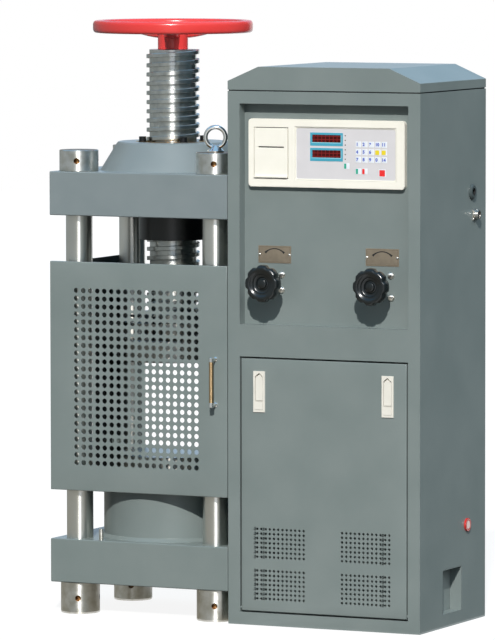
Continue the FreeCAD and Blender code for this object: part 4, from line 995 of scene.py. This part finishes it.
_, out_x, y, z = on_side("sight_glass")
reflector = moulded("sight_reflector", "#f3d6cf", "#f6e6e2", 0.15, 8, 0.003)
side_disc("sight_lens", [(0, out_x - 0.05), (9, out_x - 0.05), (12.6, out_x + 0.02)], 28, y, z,
          reflector)
in_x, out_x, y, z = on_side("signal_connector")
side_disc("connector_insert", [(0, out_x - 3), (7.4, out_x - 3), (7.4, out_x - 6)], 24, y, z,
          "rubber_black")
flange_thick, screw_off = 2.5, 9
screws = [dome(in_x + flange_thick, y + a, z + b, *small_head, "X")
          for a in (-screw_off, screw_off) for b in (-screw_off, screw_off)]
dress(to_mesh("connector_screws", screws, crisp=60), "plug_metal", "frame")
_, out_x, y, z = on_side("cable_gland")
side_disc("gland_throat", [(12.4, out_x - 0.05), (8, out_x - 0.04), (7.9, out_x - 11)], 32, y, z,
          "rubber_black")

# %% [markdown]
# ## Floor, light and world
# The studio is white: a pale floor that takes the shadow, and white paper far behind. A small
# crisp sun comes from the front and right, and a pale blue room fills the shadows, brighter on
# the right than on the left. The floor and the world show white to the camera.


# %% Floor
def ray_kind(tree):
    """The ray's node, and a link that is one for rays from camera, mirrors and clear things."""
    path = add_node(tree, "LightPath")
    link = (path, "Is Camera Ray")
    for kind in ("Is Glossy Ray", "Is Transmission Ray"):
        link = (add_node(tree, "Math", {"operation": "MAXIMUM"}, {0: link, 1: (path, kind)}), 0)
    return path, link


bpy.ops.mesh.primitive_plane_add(size=30)
floor = bpy.context.object
floor.name = "floor"
mat = bpy.data.materials.new("studio_floor")
tree, out = empty_tree(mat)
matt = add_node(tree, "BsdfDiffuse", {"Color": linear("#6a6a6a")})
glow = add_node(tree, "Emission", {"Strength": 0.9})
none = add_node(tree, "Emission", {"Strength": 0.0})
path, seen = ray_kind(tree)
lit = add_node(tree, "MixShader", links={0: seen, 1: (none, 0), 2: (glow, 0)})
feed(out, 0, add_node(tree, "AddShader", links={0: (matt, 0), 1: (lit, 0)}))
floor.data.materials.append(mat)
print("floor placed")

# %% World
world = bpy.data.worlds.new("studio")
bpy.context.scene.world = world
tree, out = empty_tree(world, "OutputWorld")
way = add_node(tree, "SeparateXYZ", links={0: (add_node(tree, "TexCoord"), "Generated")})
sideways, upward, behind = [
    add_node(tree, "MapRange", {"To Min": low, "To Max": high}, {"Value": (way, axis)})
    for low, high, axis in ((0.12, 1.25, 0), (0.02, 2.2, 2), (0.0, 0.4, 1))]
front = add_node(tree, "Math", {"operation": "MULTIPLY"}, {0: (sideways, 0), 1: (upward, 0)})
strength = add_node(tree, "Math", {"operation": "ADD"}, {0: (front, 0), 1: (behind, 0)})
tint = ramp_node(tree, 0.0, 0.8, ("#a4e4ff", "#f4f9ff"), {"Fac": (way, 0)})
fill = add_node(tree, "Background", links={"Color": (tint, 0), "Strength": (strength, 0)})
sky = ramp_node(tree, 0.04, 0.3, ("#ffffff", "#a6d6ff"), {"Fac": (way, 2)})
path, seen = ray_kind(tree)
shade = add_node(tree, "Mix", {"data_type": "RGBA", 7: (1, 1, 1, 1)},
                 {0: (path, "Is Camera Ray"), 6: (sky, 0)})
paper = add_node(tree, "Background", links={"Color": (shade, 2)})
feed(out, 0, add_node(tree, "MixShader", links={0: seen, 1: (fill, 0), 2: (paper, 0)}))
print("world set")

# %% [markdown]
# Bright steel needs something dark to mirror. Two tall cards stand round the machine, a grey one
# on the left and a nearly black one on the right, with a gap at the front that leaves a bright
# stripe down each column. Two brown ones lie on the floor in front of them, as trodden ground.
# All four are seen in mirrors only.


# %% Cards
def card(name, start, end, edges, tones):
    """A curved card from one azimuth to the other between two edges (radius, height); its tone
    goes from one of the tones to the next along it."""
    az = np.radians(np.linspace(start, end, 25))
    grid = [np.column_stack([r * np.sin(az), -r * np.cos(az), 0 * az + z]) for r, z in edges]
    piece = to_mesh(name, [np.array(grid) / mm])
    co = np.array([v.co for v in piece.data.vertices])
    place = np.degrees(np.arctan2(co[:, 0], -co[:, 1])) % 360
    along = piece.data.attributes.new("along", "FLOAT", "POINT")
    along.data.foreach_set("value", (place - start % 360) % 360 / (end - start))
    mat = bpy.data.materials.new(name)
    tree, out = empty_tree(mat)
    where = add_node(tree, "Attribute", {"attribute_name": "along"})
    fade = ramp_node(tree, 0.0, 1.0, (tones[0], tones[-1]), {"Fac": (where, "Fac")})
    for k, tone in enumerate(tones[1:-1]):
        fade.color_ramp.elements.new((k + 1) / (len(tones) - 1)).color = linear(tone)
    feed(out, 0, add_node(tree, "Emission", links={0: (fade, 0)}))
    piece.data.materials.append(mat)
    piece.visible_camera = piece.visible_diffuse = False
    piece.visible_shadow = piece.visible_transmission = False


standing, lying = ((3.5, -0.4), (3.5, 3.2)), ((0.02, 0.004), (3.5, 0.004))
for name, start, end, edges, tones in (
    ("card_left", -140, 8, standing, ("#8f9798", "#a6adae", "#a9b0b2", "#b4bab9")),
    ("card_right", 32, 175, standing, ("#a9b1b1", "#69767a", "#2b383c", "#263236", "#3a474b")),
    ("ground_left", -140, 8, lying, ("#8d8a80", "#9c988c", "#a39e91", "#b3aea2")),
    ("ground_right", 32, 175, lying, ("#aaa598", "#6f6c63", "#3a3b38", "#2f3331", "#3a3d3b")),
):
    card(name, start, end, edges, tones)
print("cards placed")

# %% Sun
sun_azimuth, sun_height = 22, 35
sun = bpy.data.objects.new("sun", bpy.data.lights.new("sun", "SUN"))
sun.data.energy = 3.5
sun.data.angle = np.radians(1.5)
sun.data.color = (1.0, 0.97, 0.93)
sun.matrix_world = aimed(sun_azimuth, sun_height)
bpy.context.scene.collection.objects.link(sun)
print("sun at", sun_azimuth, "degrees to the right and", sun_height, "degrees up")
